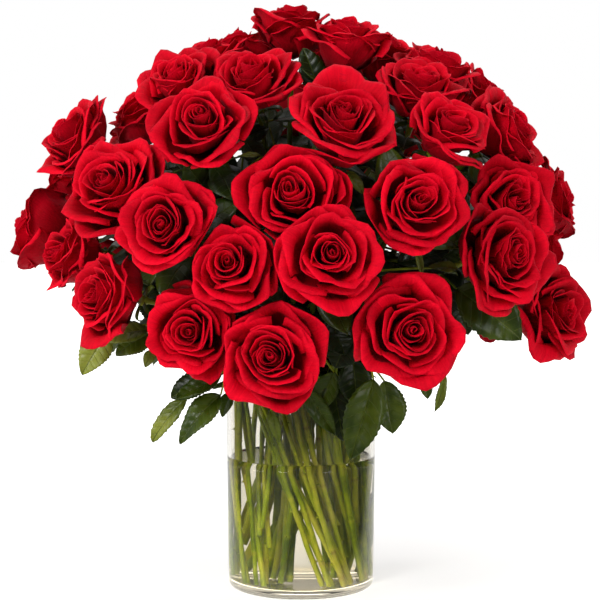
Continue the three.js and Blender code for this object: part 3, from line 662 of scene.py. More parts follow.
def thorn_mesh():
    """Thorn along +Z from the stem's skin, hooked a little towards -X, one unit high."""
    rings = [(0.0, 0.0, 0.42), (0.35, -0.02, 0.24), (0.7, -0.1, 0.1)]
    angles = [k * math.tau / THORN_SIDES for k in range(THORN_SIDES)]
    points = [(x + r * math.cos(a), 0.7 * r * math.sin(a), z) for z, x, r in rings for a in angles]
    points.append((-0.25, 0, 1.0))
    tip = len(points) - 1
    last = tip - THORN_SIDES
    faces = [tuple(reversed(range(THORN_SIDES))), *ring_faces(len(rings) - 1, THORN_SIDES)]
    faces += [(last + k, last + (k + 1) % THORN_SIDES, tip) for k in range(THORN_SIDES)]
    mesh = new_mesh("thorn", points, faces)
    set_attribute(mesh, "along", np.zeros(len(points)))
    mesh.shade_smooth()
    return mesh


def turned_mesh(name, outline):
    """Solid of revolution of an outline from the axis round to the axis, in millimetres."""
    angles = np.arange(VASE_SIDES) * math.tau / VASE_SIDES
    points = [(0, 0, outline[0][1])]
    for r, z in outline[1:-1]:
        points += [(r * math.cos(a), r * math.sin(a), z) for a in angles]
    points.append((0, 0, outline[-1][1]))
    levels = len(outline) - 3
    last = 1 + levels * VASE_SIDES
    faces = [(0, 1 + (k + 1) % VASE_SIDES, 1 + k) for k in range(VASE_SIDES)]
    faces += ring_faces(levels, VASE_SIDES, 1)
    faces += [(last + k, last + (k + 1) % VASE_SIDES, len(points) - 1) for k in range(VASE_SIDES)]
    mesh = new_mesh(name, np.array(points) * MM, faces)
    mesh.shade_smooth()
    return mesh


# Node trees.


class Nodes:
    """A node tree with short ways to add and link nodes."""

    def __init__(self, tree):
        self.tree = tree

    def node(self, kind, settings=None, *values, **inputs):
        """New node with its first inputs in order, and others by their labels, with _ for a space."""
        made = self.tree.nodes.new(kind)
        for key, value in (settings or {}).items():
            setattr(made, key, value)
        for key, value in [*enumerate(values), *inputs.items()]:
            self.feed(made, key, value)
        return made

    def feed(self, node, key, value):
        """Link or set an input, which is named by its number or its label."""
        socket = node.inputs[key if isinstance(key, int) else key.replace("_", " ")]
        if isinstance(value, bpy.types.NodeSocket):
            self.tree.links.new(value, socket)
        elif socket.type == "RGBA" and len(value) == 3:
            socket.default_value = (*value, 1)
        else:
            socket.default_value = value

    def math(self, operation, *values):
        return self.node("ShaderNodeMath", {"operation": operation}, *values).outputs[0]

    def xyz(self, *values):
        return self.node("ShaderNodeCombineXYZ", None, *values).outputs[0]

    def span(self, value, source, result):
        """value taken from the source range to the result range, and held there beyond."""
        return self.node("ShaderNodeMapRange", None, value, *source, *result).outputs[0]


class Tree(Nodes):
    """A geometry node tree with named inputs."""

    def __init__(self, name, inputs):
        super().__init__(bpy.data.node_groups.new(name, "GeometryNodeTree"))
        face = self.tree.interface
        face.new_socket(name="Geometry", in_out="INPUT", socket_type="NodeSocketGeometry")
        self.ids = {}
        for label, kind, value in inputs:
            socket = face.new_socket(name=label, in_out="INPUT", socket_type="NodeSocket" + kind)
            if value is not None:
                socket.default_value = value
            self.ids[label] = socket.identifier
        face.new_socket(name="Geometry", in_out="OUTPUT", socket_type="NodeSocketGeometry")
        self.entry = self.tree.nodes.new("NodeGroupInput")
        self.exit = self.tree.nodes.new("NodeGroupOutput")

    def given(self, label):
        return self.entry.outputs[label]

    def turned(self, euler):
        return self.node("FunctionNodeEulerToRotation", None, euler).outputs[0]

    def kinds_of(self, label):
        """The objects of a collection input, each at the origin."""
        return self.node("GeometryNodeCollectionInfo", Collection=self.given(label),
                         Separate_Children=True, Reset_Children=True).outputs[0]

    def geometry_of(self, label):
        return self.node("GeometryNodeObjectInfo", Object=self.given(label)).outputs["Geometry"]

    def real(self, instances):
        return self.node("GeometryNodeRealizeInstances", Geometry=instances).outputs[0]

    def in_material(self, geometry, label):
        return self.node("GeometryNodeSetMaterial", Geometry=geometry,
                         Material=self.given(label)).outputs[0]

    def finish(self, result):
        self.tree.links.new(result, self.exit.inputs[0])

    def grow(self, name, mesh, values, home):
        """Plain mesh that the tree makes from a start mesh and the values of its inputs."""
        start = helper_object(name, mesh, home)
        modifier = start.modifiers.new("grow", "NODES")
        modifier.node_group = self.tree
        for label, value in values.items():
            modifier[self.ids[label]] = value
        graph = bpy.context.evaluated_depsgraph_get()
        graph.update()
        grown = bpy.data.meshes.new_from_object(start.evaluated_get(graph))
        start.modifiers.remove(modifier)
        bpy.data.objects.remove(start)
        return grown


def bloom_tree():
    """Petals of one bloom round the axis, from the eye outwards."""
    tree = Tree("petals in a spiral", [
        ("Petal kinds", "Collection", None),
        ("Kinds", "Int", PETAL_KINDS),
        ("Petals", "Int", PETALS_PER_BLOOM),
        ("Openness", "Float", 1.0),
        ("Twist", "Float", math.radians(137.5)),
        ("Loose turn", "Float", 0.36),
        ("Lean", "Float", 0.2),
        ("Growth", "Float", 0.16),
        ("Shades", "Float", 1.0),
        ("Seed", "Int", 0),
        ("Petal", "Material", None),
    ])
    index = tree.node("GeometryNodeInputIndex").outputs[0]

    def loose(label, shift):
        """Random number for each petal, up to the given amount either way."""
        amount = tree.given(label)
        made = tree.node("FunctionNodeRandomValue", {"data_type": "FLOAT"}, ID=index,
                         Seed=tree.math("ADD", tree.given("Seed"), float(shift)))
        tree.feed(made, 2, tree.math("MULTIPLY", amount, -1.0))
        tree.feed(made, 3, amount)
        return made.outputs[1]

    outer = tree.math("DIVIDE", index, tree.given("Petals"))
    share = tree.math("POWER", outer, tree.given("Openness"))
    step = tree.math("MULTIPLY", share, tree.given("Kinds"))
    kind = tree.math("FLOOR", step)
    turn = tree.math("ADD", tree.math("MULTIPLY", index, tree.given("Twist")), loose("Loose turn", 1))
    lean_x = tree.math("MULTIPLY", loose("Lean", 2), outer)
    lean_y = tree.math("MULTIPLY", loose("Lean", 3), outer)
    past = tree.math("MULTIPLY", tree.math("SUBTRACT", tree.math("SUBTRACT", step, kind), 0.25), 0.06)
    size = tree.math("ADD", tree.math("ADD", 1.0, past), tree.math("MULTIPLY", loose("Growth", 5), outer))
    tall = tree.math("ADD", 1.0, tree.math("MULTIPLY", loose("Growth", 6), 0.5))
    points = tree.node("GeometryNodePoints", Count=tree.given("Petals")).outputs[0]
    toned = tree.node("GeometryNodeStoreNamedAttribute", {"data_type": "FLOAT", "domain": "POINT"},
                      Geometry=points, Name="tone", Value=loose("Shades", 4)).outputs[0]
    placed = tree.node("GeometryNodeInstanceOnPoints", Points=toned, Instance=tree.kinds_of("Petal kinds"),
                       Pick_Instance=True, Instance_Index=kind,
                       Rotation=tree.turned(tree.xyz(lean_x, lean_y, turn)),
                       Scale=tree.xyz(size, size, tall)).outputs[0]
    tree.finish(tree.in_material(tree.real(placed), "Petal"))
    return tree


def stems_tree():
    """Stems and stalks along their paths, with leaflets, sepals and thorns on marked points."""
    tree = Tree("leafy stems", [
        ("Sides", "Int", 8),
        ("Growth points", "Object", None),
        ("Growth kinds", "Collection", None),
        ("Thorn points", "Object", None),
        ("Thorn", "Object", None),
        ("Stem", "Material", None),
        ("Leaf", "Material", None),
    ])

    def named(name, kind):
        made = tree.node("GeometryNodeInputNamedAttribute", {"data_type": kind}, Name=name)
        return made.outputs["Attribute"]

    def scattered(spots, instance, material, **pick):
        points = tree.node("GeometryNodeMeshToPoints", Mesh=tree.geometry_of(spots)).outputs[0]
        placed = tree.node("GeometryNodeInstanceOnPoints", Points=points, Instance=instance,
                           Rotation=tree.turned(named("turn", "FLOAT_VECTOR")),
                           Scale=named("size", "FLOAT_VECTOR"), **pick).outputs[0]
        return tree.in_material(tree.real(placed), material)

    paths = tree.node("GeometryNodeMeshToCurve", Mesh=tree.given("Geometry")).outputs[0]
    ring = tree.node("GeometryNodeCurvePrimitiveCircle", Resolution=tree.given("Sides"), Radius=1.0)
    skin = tree.node("GeometryNodeCurveToMesh", Curve=paths, Profile_Curve=ring.outputs[0],
                     Scale=named("girth", "FLOAT"), Fill_Caps=True).outputs[0]
    stems = tree.in_material(tree.node("GeometryNodeSetShadeSmooth", Geometry=skin).outputs[0], "Stem")
    leaves = scattered("Growth points", tree.kinds_of("Growth kinds"), "Leaf",
                       Pick_Instance=True, Instance_Index=named("kind", "INT"))
    thorns = scattered("Thorn points", tree.geometry_of("Thorn"), "Stem")
    joined = tree.node("GeometryNodeJoinGeometry")
    for part in (thorns, leaves, stems):
        tree.feed(joined, 0, part)
    tree.finish(joined.outputs[0])
    return tree


# Finishes.


class Finish(Nodes):
    """A material with short ways to add nodes."""

    def __init__(self, name, **values):
        self.material = bpy.data.materials.new(name)
        self.material.use_nodes = True
        super().__init__(self.material.node_tree)
        self.surface = self.tree.nodes["Principled BSDF"]
        self.use(**values)

    def use(self, **values):
        """Set or link inputs of the surface."""
        for key, value in values.items():
            self.feed(self.surface, key, value)

    def field(self, name):
        return self.node("ShaderNodeAttribute", {"attribute_name": name}).outputs["Fac"]

    def place(self, axis=None):
        """Where the point lies in the object, or that along one axis."""
        spot = self.node("ShaderNodeTexCoord").outputs["Object"]
        return self.node("ShaderNodeSeparateXYZ", None, spot).outputs[axis] if axis else spot

    def vector(self, operation, *values):
        return self.node("ShaderNodeVectorMath", {"operation": operation}, *values).outputs

    def noise(self, scale, detail=2.0, rough=0.5, spot=None):
        return self.node("ShaderNodeTexNoise", Vector=spot or self.place(), Scale=scale,
                         Detail=detail, Roughness=rough).outputs["Fac"]

    def ramp(self, factor, stops):
        made = self.node("ShaderNodeValToRGB", Fac=factor)
        elements = made.color_ramp.elements
        while len(elements) < len(stops):
            elements.new(0.5)
        for element, (position, colour) in zip(elements, stops):
            element.position = position
            element.color = (*colour, 1)
        return made.outputs["Color"]

    def mix(self, factor, a, b, blend="MIX"):
        made = self.node("ShaderNodeMix", {"data_type": "RGBA", "blend_type": blend}, factor)
        self.feed(made, 6, a)
        self.feed(made, 7, b)
        return made.outputs[2]

    def times(self, colour, amount):
        """The colour, made darker or lighter by a number."""
        grey = self.node("ShaderNodeCombineColor", None, amount, amount, amount).outputs[0]
        return self.mix(1.0, colour, grey, "MULTIPLY")

    def heart(self):
        """How much painted shade a point gets for lying deep in the bouquet: 0 outside and below, near 1
        in its heart.
        """
        spot = self.vector("SUBTRACT", self.place(), tuple(HEART * MM))[0]
        spot = self.vector("DIVIDE", spot, tuple(PAINTED_SHADE_REACH * MM))[0]
        reach = self.vector("LENGTH", spot)["Value"]
        return self.math("MULTIPLY", self.span(reach, (0.86, 0.62), (0, 0.85)),
                         self.span(self.place("Z"), (0.20, 0.27), (0, 1)))

    def bump(self, height, strength, distance):
        made = self.node("ShaderNodeBump", Height=height, Strength=strength, Distance=distance)
        self.use(Normal=made.outputs[0])


def petal_finish():
    """Velvety red petal: dark towards its foot as painted shade, bright at the lip as a painted highlight,
    duller outside, with fine veins.
    """
    f = Finish("rose_petal", Roughness=0.6, Sheen_Weight=0.08, Sheen_Roughness=0.4,
               Sheen_Tint=(1.0, 0.12, 0.2), Specular_IOR_Level=0.11, Specular_Tint=(1.0, 0.35, 0.35))
    along = f.field("along")
    # Painted shade and highlight: both ramps run from dark at the petal's foot to bright at its lip.
    shade = f.mix(f.field("under"), f.ramp(along, PETAL_OUTSIDE), f.ramp(along, PETAL_INSIDE))
    streaks = f.xyz(f.math("MULTIPLY", f.field("across"), 16.0), f.math("MULTIPLY", along, 1.5),
                    f.math("MULTIPLY", f.field("ring"), 9.0))
    veins = f.noise(scale=1.6, detail=4.0, rough=0.6, spot=streaks)
    cloud = f.noise(scale=45.0, detail=3.0)
    tone = f.math("MULTIPLY_ADD", cloud, 0.6, 0.7)
    tone = f.math("MULTIPLY", tone, f.math("MULTIPLY_ADD", veins, 0.6, 0.7))
    tone = f.math("MULTIPLY", tone, f.math("MULTIPLY_ADD", f.field("tone"), 0.16, 1.0))
    f.use(Base_Color=f.times(shade, tone))
    f.bump(f.math("ADD", veins, f.math("MULTIPLY", cloud, 0.5)), strength=0.65, distance=0.0012)
    return f.material


def leaf_finish():
    """Glossy dark leaf with a pale midrib and side veins, lighter and duller underneath, and painted shade
    deep inside.
    """
    f = Finish("rose_leaf", Coat_Weight=0.13, Coat_Roughness=0.25, Specular_IOR_Level=0.28)
    far = f.math("ABSOLUTE", f.field("ring"))

    def line(distance, sharpness):
        """1 on a line and 0 away from it."""
        away = f.math("SMOOTH_MIN", f.math("MULTIPLY", distance, sharpness), 1.0, 0.2)
        return f.math("SUBTRACT", 1.0, away)

    wave = f.math("SUBTRACT", f.math("MULTIPLY", f.field("along"), RIBS_PER_LENGTH),
                  f.math("MULTIPLY", far, RIB_SLANT))
    side_vein = line(f.math("ABSOLUTE", f.math("SUBTRACT", f.math("FRACT", wave), 0.5)), 14.0)
    veins = f.math("MAXIMUM", line(far, 45.0), f.math("MULTIPLY", side_vein, 0.5))
    cloud = f.noise(scale=30.0, detail=3.0)
    tone = f.math("ADD", cloud, f.math("MULTIPLY", f.field("tone"), 0.5))
    top = f.mix(f.math("MULTIPLY", veins, 0.6), f.ramp(tone, LEAF_TOP), LEAF_VEIN)
    both = f.mix(f.field("under"), top, f.mix(veins, LEAF_UNDER, LEAF_UNDER_VEIN))
    edge = f.math("GREATER_THAN", f.math("ABSOLUTE", f.field("across")), 0.97)
    both = f.mix(f.math("MULTIPLY", edge, 0.35), both, LEAF_EDGE)
    dull = f.math("MULTIPLY_ADD", f.field("under"), 0.3, 0.34)
    # Painted shade: deep in the bouquet the leaf is darkened towards near black.
    f.use(Base_Color=f.mix(f.heart(), both, LEAF_PAINTED_SHADE),
          Roughness=f.math("ADD", dull, f.math("MULTIPLY", cloud, 0.12)))
    grain = f.math("MULTIPLY", f.noise(scale=220.0), 0.3)
    f.bump(f.math("SUBTRACT", grain, veins), strength=0.7, distance=0.001)
    return f.material


def stem_finish():
    """Olive green stem, browner in patches and at the joints, and darkened by painted shade deep in the
    bouquet.
    """
    f = Finish("rose_stem", Roughness=0.38, Specular_IOR_Level=0.12)
    cloud = f.noise(scale=26.0, detail=4.0, rough=0.6)
    fine = f.noise(scale=160.0)
    hue = f.math("MINIMUM", f.field("tone"), 0.5)
    green = f.ramp(f.math("ADD", cloud, f.math("MULTIPLY", hue, 0.26)), STEM_SKIN)
    speck = f.ramp(fine, [(0.64, BLACK), (0.72, WHITE)])
    skin = f.mix(f.math("MULTIPLY", speck, 0.3), green, STEM_SPECK)
    skin = f.mix(f.span(f.field("tone"), (0.5, 1.4), (0, 0.7)), skin, STEM_JOINT)
    # Painted shade: deep in the bouquet the stem is darkened towards near black.
    f.use(Base_Color=f.mix(f.heart(), skin, STEM_PAINTED_SHADE))
    f.bump(f.math("ADD", fine, cloud), strength=0.25, distance=0.0008)
    return f.material


def clear_finish(name, body, rim, foot, ior):
    """Clear glass or water, darker where it is seen edge on, that lets light through to its inside."""
    f = Finish(name, Roughness=0.0, IOR=ior, Transmission_Weight=1.0, Specular_IOR_Level=0.3)
    colour = f.mix(f.span(f.place("Z"), (0.014, 0.008), (0, 1)), body, foot)
    colour = f.times(colour, f.math("MULTIPLY_ADD", f.noise(scale=14.0, detail=3.0), 0.06, 0.96))
    slant = f.node("ShaderNodeLayerWeight", Blend=0.25).outputs["Facing"]
    edge = f.ramp(slant, [(0.0, BLACK), (0.5, BLACK), (1.0, WHITE)])
    f.use(Base_Color=f.mix(edge, colour, rim))
    through = f.node("ShaderNodeBsdfTransparent", None, (0.97, 0.97, 0.95))
    shadow = f.node("ShaderNodeLightPath").outputs["Is Shadow Ray"]
    mixed = f.node("ShaderNodeMixShader", None, shadow, f.surface.outputs[0], through.outputs[0])
    f.feed(f.tree.nodes["Material Output"], "Surface", mixed.outputs[0])
    return f.material


def floor_finish():
    """Pale floor with soft shadows near the vase, which brightens into the white all round. It glows as
    painted light, most far off for the camera and under the vase where it is seen through the glass, and
    where the glass mirrors it ahead of the vase it is painted dark, a painted reflection.
    """
    f = Finish("pale_floor", Roughness=0.6, Emission_Color=FLOOR_GLOW)
    reach = f.vector("LENGTH", f.place())["Value"]
    aside = f.math("SUBTRACT", f.math("ABSOLUTE", f.place("X")), f.place("Y"))
    ahead = f.span(aside, (0.1, 0.3), (0, 1))
    rays = f.node("ShaderNodeLightPath").outputs
    # Painted reflection: the floor ahead of the vase is dark where the glass mirrors it.
    mirrored = f.math("MULTIPLY", rays["Is Glossy Ray"], ahead)
    through = f.math("MULTIPLY", rays["Is Glossy Ray"], f.math("SUBTRACT", 1.0, ahead))
    # Painted light: the floor glows, brightest under the vase for rays through the glass and far off for
    # the camera.
    glow = f.math("MULTIPLY_ADD", mirrored, -0.2, 0.2)
    glow = f.math("MULTIPLY_ADD", through, f.span(reach, (0.07, 0.11), (0.9, 0.27)), glow)
    glow = f.math("MULTIPLY_ADD", rays["Is Camera Ray"], f.span(reach, (0.3, 1.4), (0.32, 1)), glow)
    pale = f.ramp(f.noise(scale=60.0, detail=3.0), FLOOR_PALE)
    f.use(Base_Color=f.mix(mirrored, pale, FLOOR_PAINTED_REFLECTION), Emission_Strength=glow)
    return f.material


# Pieces.


def finished_piece(name, mesh, nodes):
    piece = bpy.data.objects.new(name, mesh)
    bpy.context.scene.collection.objects.link(piece)
    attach(piece, "root")
    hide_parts(*nodes)
    return piece


def wavering(points, seed, amount, lengths):
    """Smooth seeded shifts of points, the same for points that lie close together."""
    draw = np.random.default_rng(seed)
    moved = points.copy()
    for length in lengths:
        for _ in range(3):
            wave = unit(draw.normal(size=3)) * math.tau / length
            shift = unit(draw.normal(size=3)) * amount * length / lengths[0]
            moved += np.sin(points @ wave + draw.uniform(0, math.tau))[:, None] * shift
    return moved


def dress_bloom(rose, tree, kinds, material, home):
    draw = np.random.default_rng(BLOOM_SEED + rose.number)
    mesh = tree.grow(f"bloom_{rose.number:02d}", new_mesh("eye", [(0, 0, 0)], []), {
        "Petal kinds": kinds, "Seed": PETAL_SEED_STEP * rose.number,
        "Openness": draw.uniform(*BLOOM_OPENNESS), "Petal": material}, home)
    points = np.zeros(len(mesh.vertices) * 3, np.float32)
    mesh.vertices.foreach_get("co", points)
    points = points.reshape(-1, 3).astype(float)
    p = wavering(points, WAVER_SEED + rose.number, PETAL_WAVER, PETAL_WAVES)
    cos, sin = math.cos(rose.turn), math.sin(rose.turn)
    x = (p[:, 0] * cos - p[:, 1] * sin) * rose.scale
    y = (p[:, 0] * sin + p[:, 1] * cos) * rose.scale
    z = p[:, 2] * rose.depth
    world = rose.base + x[:, None] * rose.side + y[:, None] * rose.other + z[:, None] * rose.axis
    mesh.vertices.foreach_set("co", np.ascontiguousarray(rose.pressed(world) * MM, np.float32).ravel())
    mesh.update()
    finished_piece(f"petals_{rose.number:02d}", mesh, [f"rose_{rose.number:02d}"])


class Spots:
    """Marked points, with fields that say how what grows there is turned, sized, picked and toned."""

    FIELD_KINDS = {"turn": "FLOAT_VECTOR", "size": "FLOAT_VECTOR", "kind": "INT", "tone": "FLOAT"}

    def __init__(self):
        self.seats, self.fields = [], {}

    def add(self, seat, axes, size, **others):
        turn = Matrix(axes).transposed().to_euler()
        self.seats.append(seat * MM)
        row = {"turn": tuple(turn), "size": tuple(s * MM for s in size), **others}
        for name, value in row.items():
            self.fields.setdefault(name, []).append(value)

    def as_object(self, name, home):
        mesh = new_mesh(name, self.seats, [])
        for key, values in self.fields.items():
            set_attribute(mesh, key, values, self.FIELD_KINDS[key])
        return helper_object(name, mesh, home)


class Growth:
    """Paths with girths, and points for leaflets, sepals and thorns, of one stem group."""

    def __init__(self):
        self.points, self.girths, self.tones, self.edges = [], [], [], []
        self.leaves, self.thorns = Spots(), Spots()

    def path(self, points, girths, tones=0.0):
        start = len(self.points)
        self.points.extend(p * MM for p in points)
        self.girths.extend(g * MM for g in girths)
        self.tones.extend(np.broadcast_to(tones, len(points)))
        self.edges.extend((start + k, start + k + 1) for k in range(len(points) - 1))

    def leaf(self, foot, forward, facing, size, kind, tone):
        side = unit(np.cross(facing, forward))
        self.leaves.add(foot, (forward, side, np.cross(forward, side)), size, kind=kind, tone=tone)

    def leaflet(self, foot, tip, facing, width, kind, tone):
        length = np.linalg.norm(tip - foot)
        self.leaf(foot, (tip - foot) / length, facing, (length, width, length), kind, tone)

    def thorn(self, seat, out, down, height):
        """Thorn that points out from the stem and hooks downwards."""
        side = unit(np.cross(out, -down))
        self.thorns.add(seat, (np.cross(side, out), side, out), (height,) * 3)


def drawn(draw, kinds, tones):
    """Kind and tone of a leaflet, each from its range."""
    return int(draw.integers(*kinds)), draw.uniform(*tones)


def leaf_on(growth, rose, row, draw):
    """A leaf of the table: its stalk, end leaflet and any side leaflets."""
    _, place, tip, heading, rise, length, width, leaflets = row
    start, tip = bezier(rose.curve, place), np.array(tip, float)
    reach = np.linalg.norm(tip - start)
    forward = (tip - start) / reach
    side = unit(np.cross(direction(heading, rise), forward))
    normal = np.cross(forward, side)

    def at(share):
        return start + forward * reach * share + normal * (4 * LEAF_ARCH * reach * share * (1 - share))

    stalk = 1 - length / reach
    growth.path([at(s) for s in np.linspace(0, stalk, 6)], [1.5 - 0.6 * k / 5 for k in range(6)])
    growth.leaflet(at(stalk), at(1), normal, width, *drawn(draw, END_LEAFLETS, TABLE_LEAF_TONES))
    if leaflets > 1:
        seat = at(stalk * PAIR_PLACE)
        for sign in (-1, 1):
            out = round_axis(forward, np.cross(normal, forward), sign * math.radians(PAIR_ANGLE))
            end = seat + out * length * PAIR_SIZE - normal * 4
            growth.leaflet(seat + out * 2, end, normal, width * PAIR_SIZE,
                           *drawn(draw, LARGE_LEAFLETS, TABLE_LEAF_TONES))


def front_leaf_on(growth, rose, row, draw):
    """A leaf of the front table, on a stalk that bows from the stem to the leaf's foot."""
    _, place, foot, tip, heading, rise, width, tone = row
    start, foot, tip = bezier(rose.curve, place), np.array(foot, float), np.array(tip, float)
    facing = direction(heading, rise)
    bend = (start + foot) / 2 + facing * STALK_BOW * np.linalg.norm(foot - start)
    shares = np.linspace(0, 1, 7)
    stalk = [(1 - s) ** 2 * start + 2 * s * (1 - s) * bend + s * s * foot for s in shares]
    growth.path(stalk, [1.4 - 0.5 * s for s in shares])
    growth.leaflet(foot, tip, facing, width, int(draw.integers(*LARGE_LEAFLETS)), tone)


def filling_leaves(growth, rose, roses, draw):
    """Smaller leaves under the bloom, which darken the gaps between the blooms."""
    for k in range(FILLERS):
        place = FILLER_PLACE + FILLER_STEP * k
        start = bezier(rose.curve, place)
        along = unit(bezier(rose.curve, place + 0.02) - start)
        side = unit(np.cross(along, rose.side))
        out = round_axis(side, np.cross(along, side), GOLDEN_TURN * (5 * rose.index + k))
        forward = unit(out + along * draw.uniform(0.1, 0.5))
        length = draw.uniform(*FILLER_LENGTH)
        foot = start + forward * draw.uniform(*FILLER_STALK)
        tip = foot + forward * length
        lowest = FILLER_LOWEST + FILLER_SLOPE * max(0, math.hypot(tip[0], tip[1]) - FILLER_RADIUS)
        if tip[2] < lowest or np.linalg.norm((tip - HEART) / BOUQUET_REACH) > 1:
            continue
        spots = [between(foot, tip, share) for share in (0, 0.25, 0.5, 0.75, 1)]
        if any(near.holds(spot) for near in roses for spot in spots):
            continue
        growth.path([start, (start + foot) / 2, foot], [1.3, 1.1, 0.9])
        width = length * draw.uniform(*FILLER_WIDTH)
        growth.leaflet(foot, tip, along, width, *drawn(draw, SMALL_LEAFLETS, FILLER_TONES))


def inner_radius(z):
    foot, rim = VASE_FOOT_RADIUS - VASE_WALL, VASE_RIM_RADIUS - VASE_WALL
    return foot + (rim - foot) * (z - VASE_FLOOR) / (VASE_HEIGHT - VASE_FLOOR)


def inside_vase(point, girth):
    """The point, moved towards the axis where a stem of that girth would reach into the glass."""
    corner = 0.5 * max(0, VASE_FLOOR + VASE_INNER_CORNER + 1 - point[2])
    room = inner_radius(point[2]) - 1.25 * girth - STEM_CLEARANCE - corner
    reach = math.hypot(point[0], point[1])
    if point[2] > VASE_HEIGHT or reach <= room:
        return point
    return point * (room / reach, room / reach, 1)


def with_joints(points, girths, hue, draw):
    """A path kept inside the vase, with short, swollen, browner joints, and the tone of each point."""
    points = [inside_vase(p, g) for p, g in zip(points, girths)]
    joint = int(draw.integers(0, 5))
    rows = []
    for k, (point, girth) in enumerate(zip(points, girths)):
        rows.append((point, girth, hue))
        if k == joint and k < len(points) - 6:
            middle, strength = draw.uniform(0.3, 0.7), draw.uniform(0.3, 1)
            for place, share in JOINT:
                rows.append((between(point, points[k + 1], middle + place),
                             girth * (1 + JOINT_SWELLING * strength * share), hue + strength * share))
            joint += int(draw.integers(3, 8))
    return [list(column) for column in zip(*rows)]


def stem_of(growth, rose, draw):
    """Path of a stem with its joints, hip, sepals and thorns."""
    run = rose.mouth - rose.foot
    outwards = unit(rose.foot * (1, 1, 0) + rose.mouth * (1, 1, 0))
    sideways = unit(np.cross(run, outwards))
    bow = sideways * draw.uniform(-BOW_ASIDE, BOW_ASIDE) + outwards * draw.uniform(*BOW_OUT) * rose.sway
    stray = sideways * draw.uniform(-STRAY_ASIDE, STRAY_ASIDE) - outwards * draw.uniform(*STRAY_IN)
    stray[:2] += rose.foot_shift * draw.uniform(*SHIFT_SHARE)
    sag = math.log(0.5) / math.log(draw.uniform(*BOW_PLACE))
    points, girths = [], []
    for s in np.linspace(0, 1, 15)[:-1]:
        uneven = draw.normal(size=3) * STEM_UNEVENNESS * min(1, 5 * s)
        points.append(rose.foot + run * s + bow * math.sin(math.pi * s ** sag)
                      + stray * (1 - s) ** 1.3 * (1, 1, 0) + uneven)
        girths.append(between(STEM_FOOT_RADIUS, STEM_MOUTH_RADIUS, s) * rose.stoutness)
    for t in np.linspace(0, 1, 12)[:-1]:
        points.append(bezier(rose.curve, t))
        girths.append(between(STEM_MOUTH_RADIUS, STEM_NECK_RADIUS, t) * rose.stoutness)
    points, girths, tones = with_joints(points, girths, rose.hue, draw)
    for below, girth in HIP:
        points.append(rose.end - rose.axis * below)
        girths.append(girth)
        tones.append(rose.hue)
    growth.path(points, girths, tones)
    for k in range(SEPALS):
        angle = k * math.tau / SEPALS + rose.turn + draw.uniform(-0.15, 0.15)
        out = round_axis(rose.side, rose.other, angle)
        length = draw.uniform(*SEPAL_LENGTH)
        size = (length, length, length * draw.uniform(0.7, 1.2))
        growth.leaf(rose.end - rose.axis * 1.5 + out * 4, out, rose.axis, size, SEPAL_KIND,
                    draw.uniform(0, 0.5))
    for k in range(THORN_EVERY, len(points) - 6, THORN_EVERY):
        along = unit(points[k + 1] - points[k])
        out = unit(np.cross(along, draw.normal(size=3)))
        seat = between(points[k], points[k + 1], draw.uniform(0, 1))
        growth.thorn(seat + out * girths[k] * 0.85, out, -along, draw.uniform(*THORN_HEIGHT))


def green_filling(growth, heading, foot_heading, shift, draw):
    """Leafy green stems without blooms that fill the vase and the heart of the bouquet."""

    def somewhere(near, spread, reach):
        return direction(near + draw.uniform(-spread, spread)) * draw.uniform(*reach)

    for _ in range(GREEN_STEMS):
        low = somewhere(foot_heading, GREEN_FOOT_SPREAD, GREEN_FOOT_REACH)
        low[:2] += shift
        mouth = somewhere(heading, GREEN_MOUTH_SPREAD, GREEN_MOUTH_REACH) + UP * VASE_HEIGHT
        foot = low + UP * draw.uniform(*GREEN_FOOT_HEIGHT)
        outwards = unit(mouth - foot + direction(heading) * GREEN_LEAN)
        top = mouth + outwards * draw.uniform(*GREEN_TOP_LENGTH)
        bow = direction(draw.uniform(0, 360)) * GREEN_BOW
        points = [between(foot, mouth, s) + bow * math.sin(math.pi * s) for s in np.linspace(0, 1, 10)]
        points += [between(mouth, top, s) for s in (0.25, 0.5, 0.75, 1.0)]
        girths = np.linspace(draw.uniform(*GREEN_GIRTH), GREEN_TIP_GIRTH, len(points))
        growth.path(*with_joints(points, girths, draw.uniform(-0.5, 0.5), draw))
        along = unit(top - mouth)
        side = unit(np.cross(along, UP + 0.01))
        for j in range(GREEN_LEAVES):
            seat = between(mouth, top, 0.15 + 0.09 * j)
            turn = GOLDEN_TURN * j + draw.uniform(0, 1)
            out = unit(round_axis(side, np.cross(along, side), turn) + along * 0.5)
            length = draw.uniform(*GREEN_LEAF_LENGTH)
            width = length * draw.uniform(*GREEN_LEAF_WIDTH)
            growth.leaflet(seat, seat + out * length, along, width,
                           *drawn(draw, SMALL_LEAFLETS, GREEN_LEAF_TONES))


def dress_stems(g, roses, tree, kinds, thorn, materials, home):
    name, heading, foot_heading, _, _, shift = GROUPS[g]
    draw = np.random.default_rng(STEM_SEED + g)
    growth = Growth()
    for rose in (rose for rose in roses if rose.group == g):
        stem_of(growth, rose, draw)
        for table, add_leaf in ((LEAVES, leaf_on), (FRONT_LEAVES, front_leaf_on)):
            for row in table:
                if row[0] == rose.number:
                    add_leaf(growth, rose, row, draw)
        if rose.number not in BARE_ROSES:
            filling_leaves(growth, rose, roses, draw)
    green_filling(growth, heading, foot_heading, shift, draw)
    paths = new_mesh(name + "_paths", growth.points, [], growth.edges)
    set_attribute(paths, "girth", growth.girths)
    set_attribute(paths, "tone", growth.tones)
    mesh = tree.grow(name + "_grown", paths, {
        "Growth points": growth.leaves.as_object(name + "_growth", home), "Growth kinds": kinds,
        "Thorn points": growth.thorns.as_object(name + "_thorns", home), "Thorn": thorn,
        "Stem": materials["stem"], "Leaf": materials["leaf"]}, home)
    finished_piece(name.replace("leafy_stems", "stems_and_leaves"), mesh, [name])


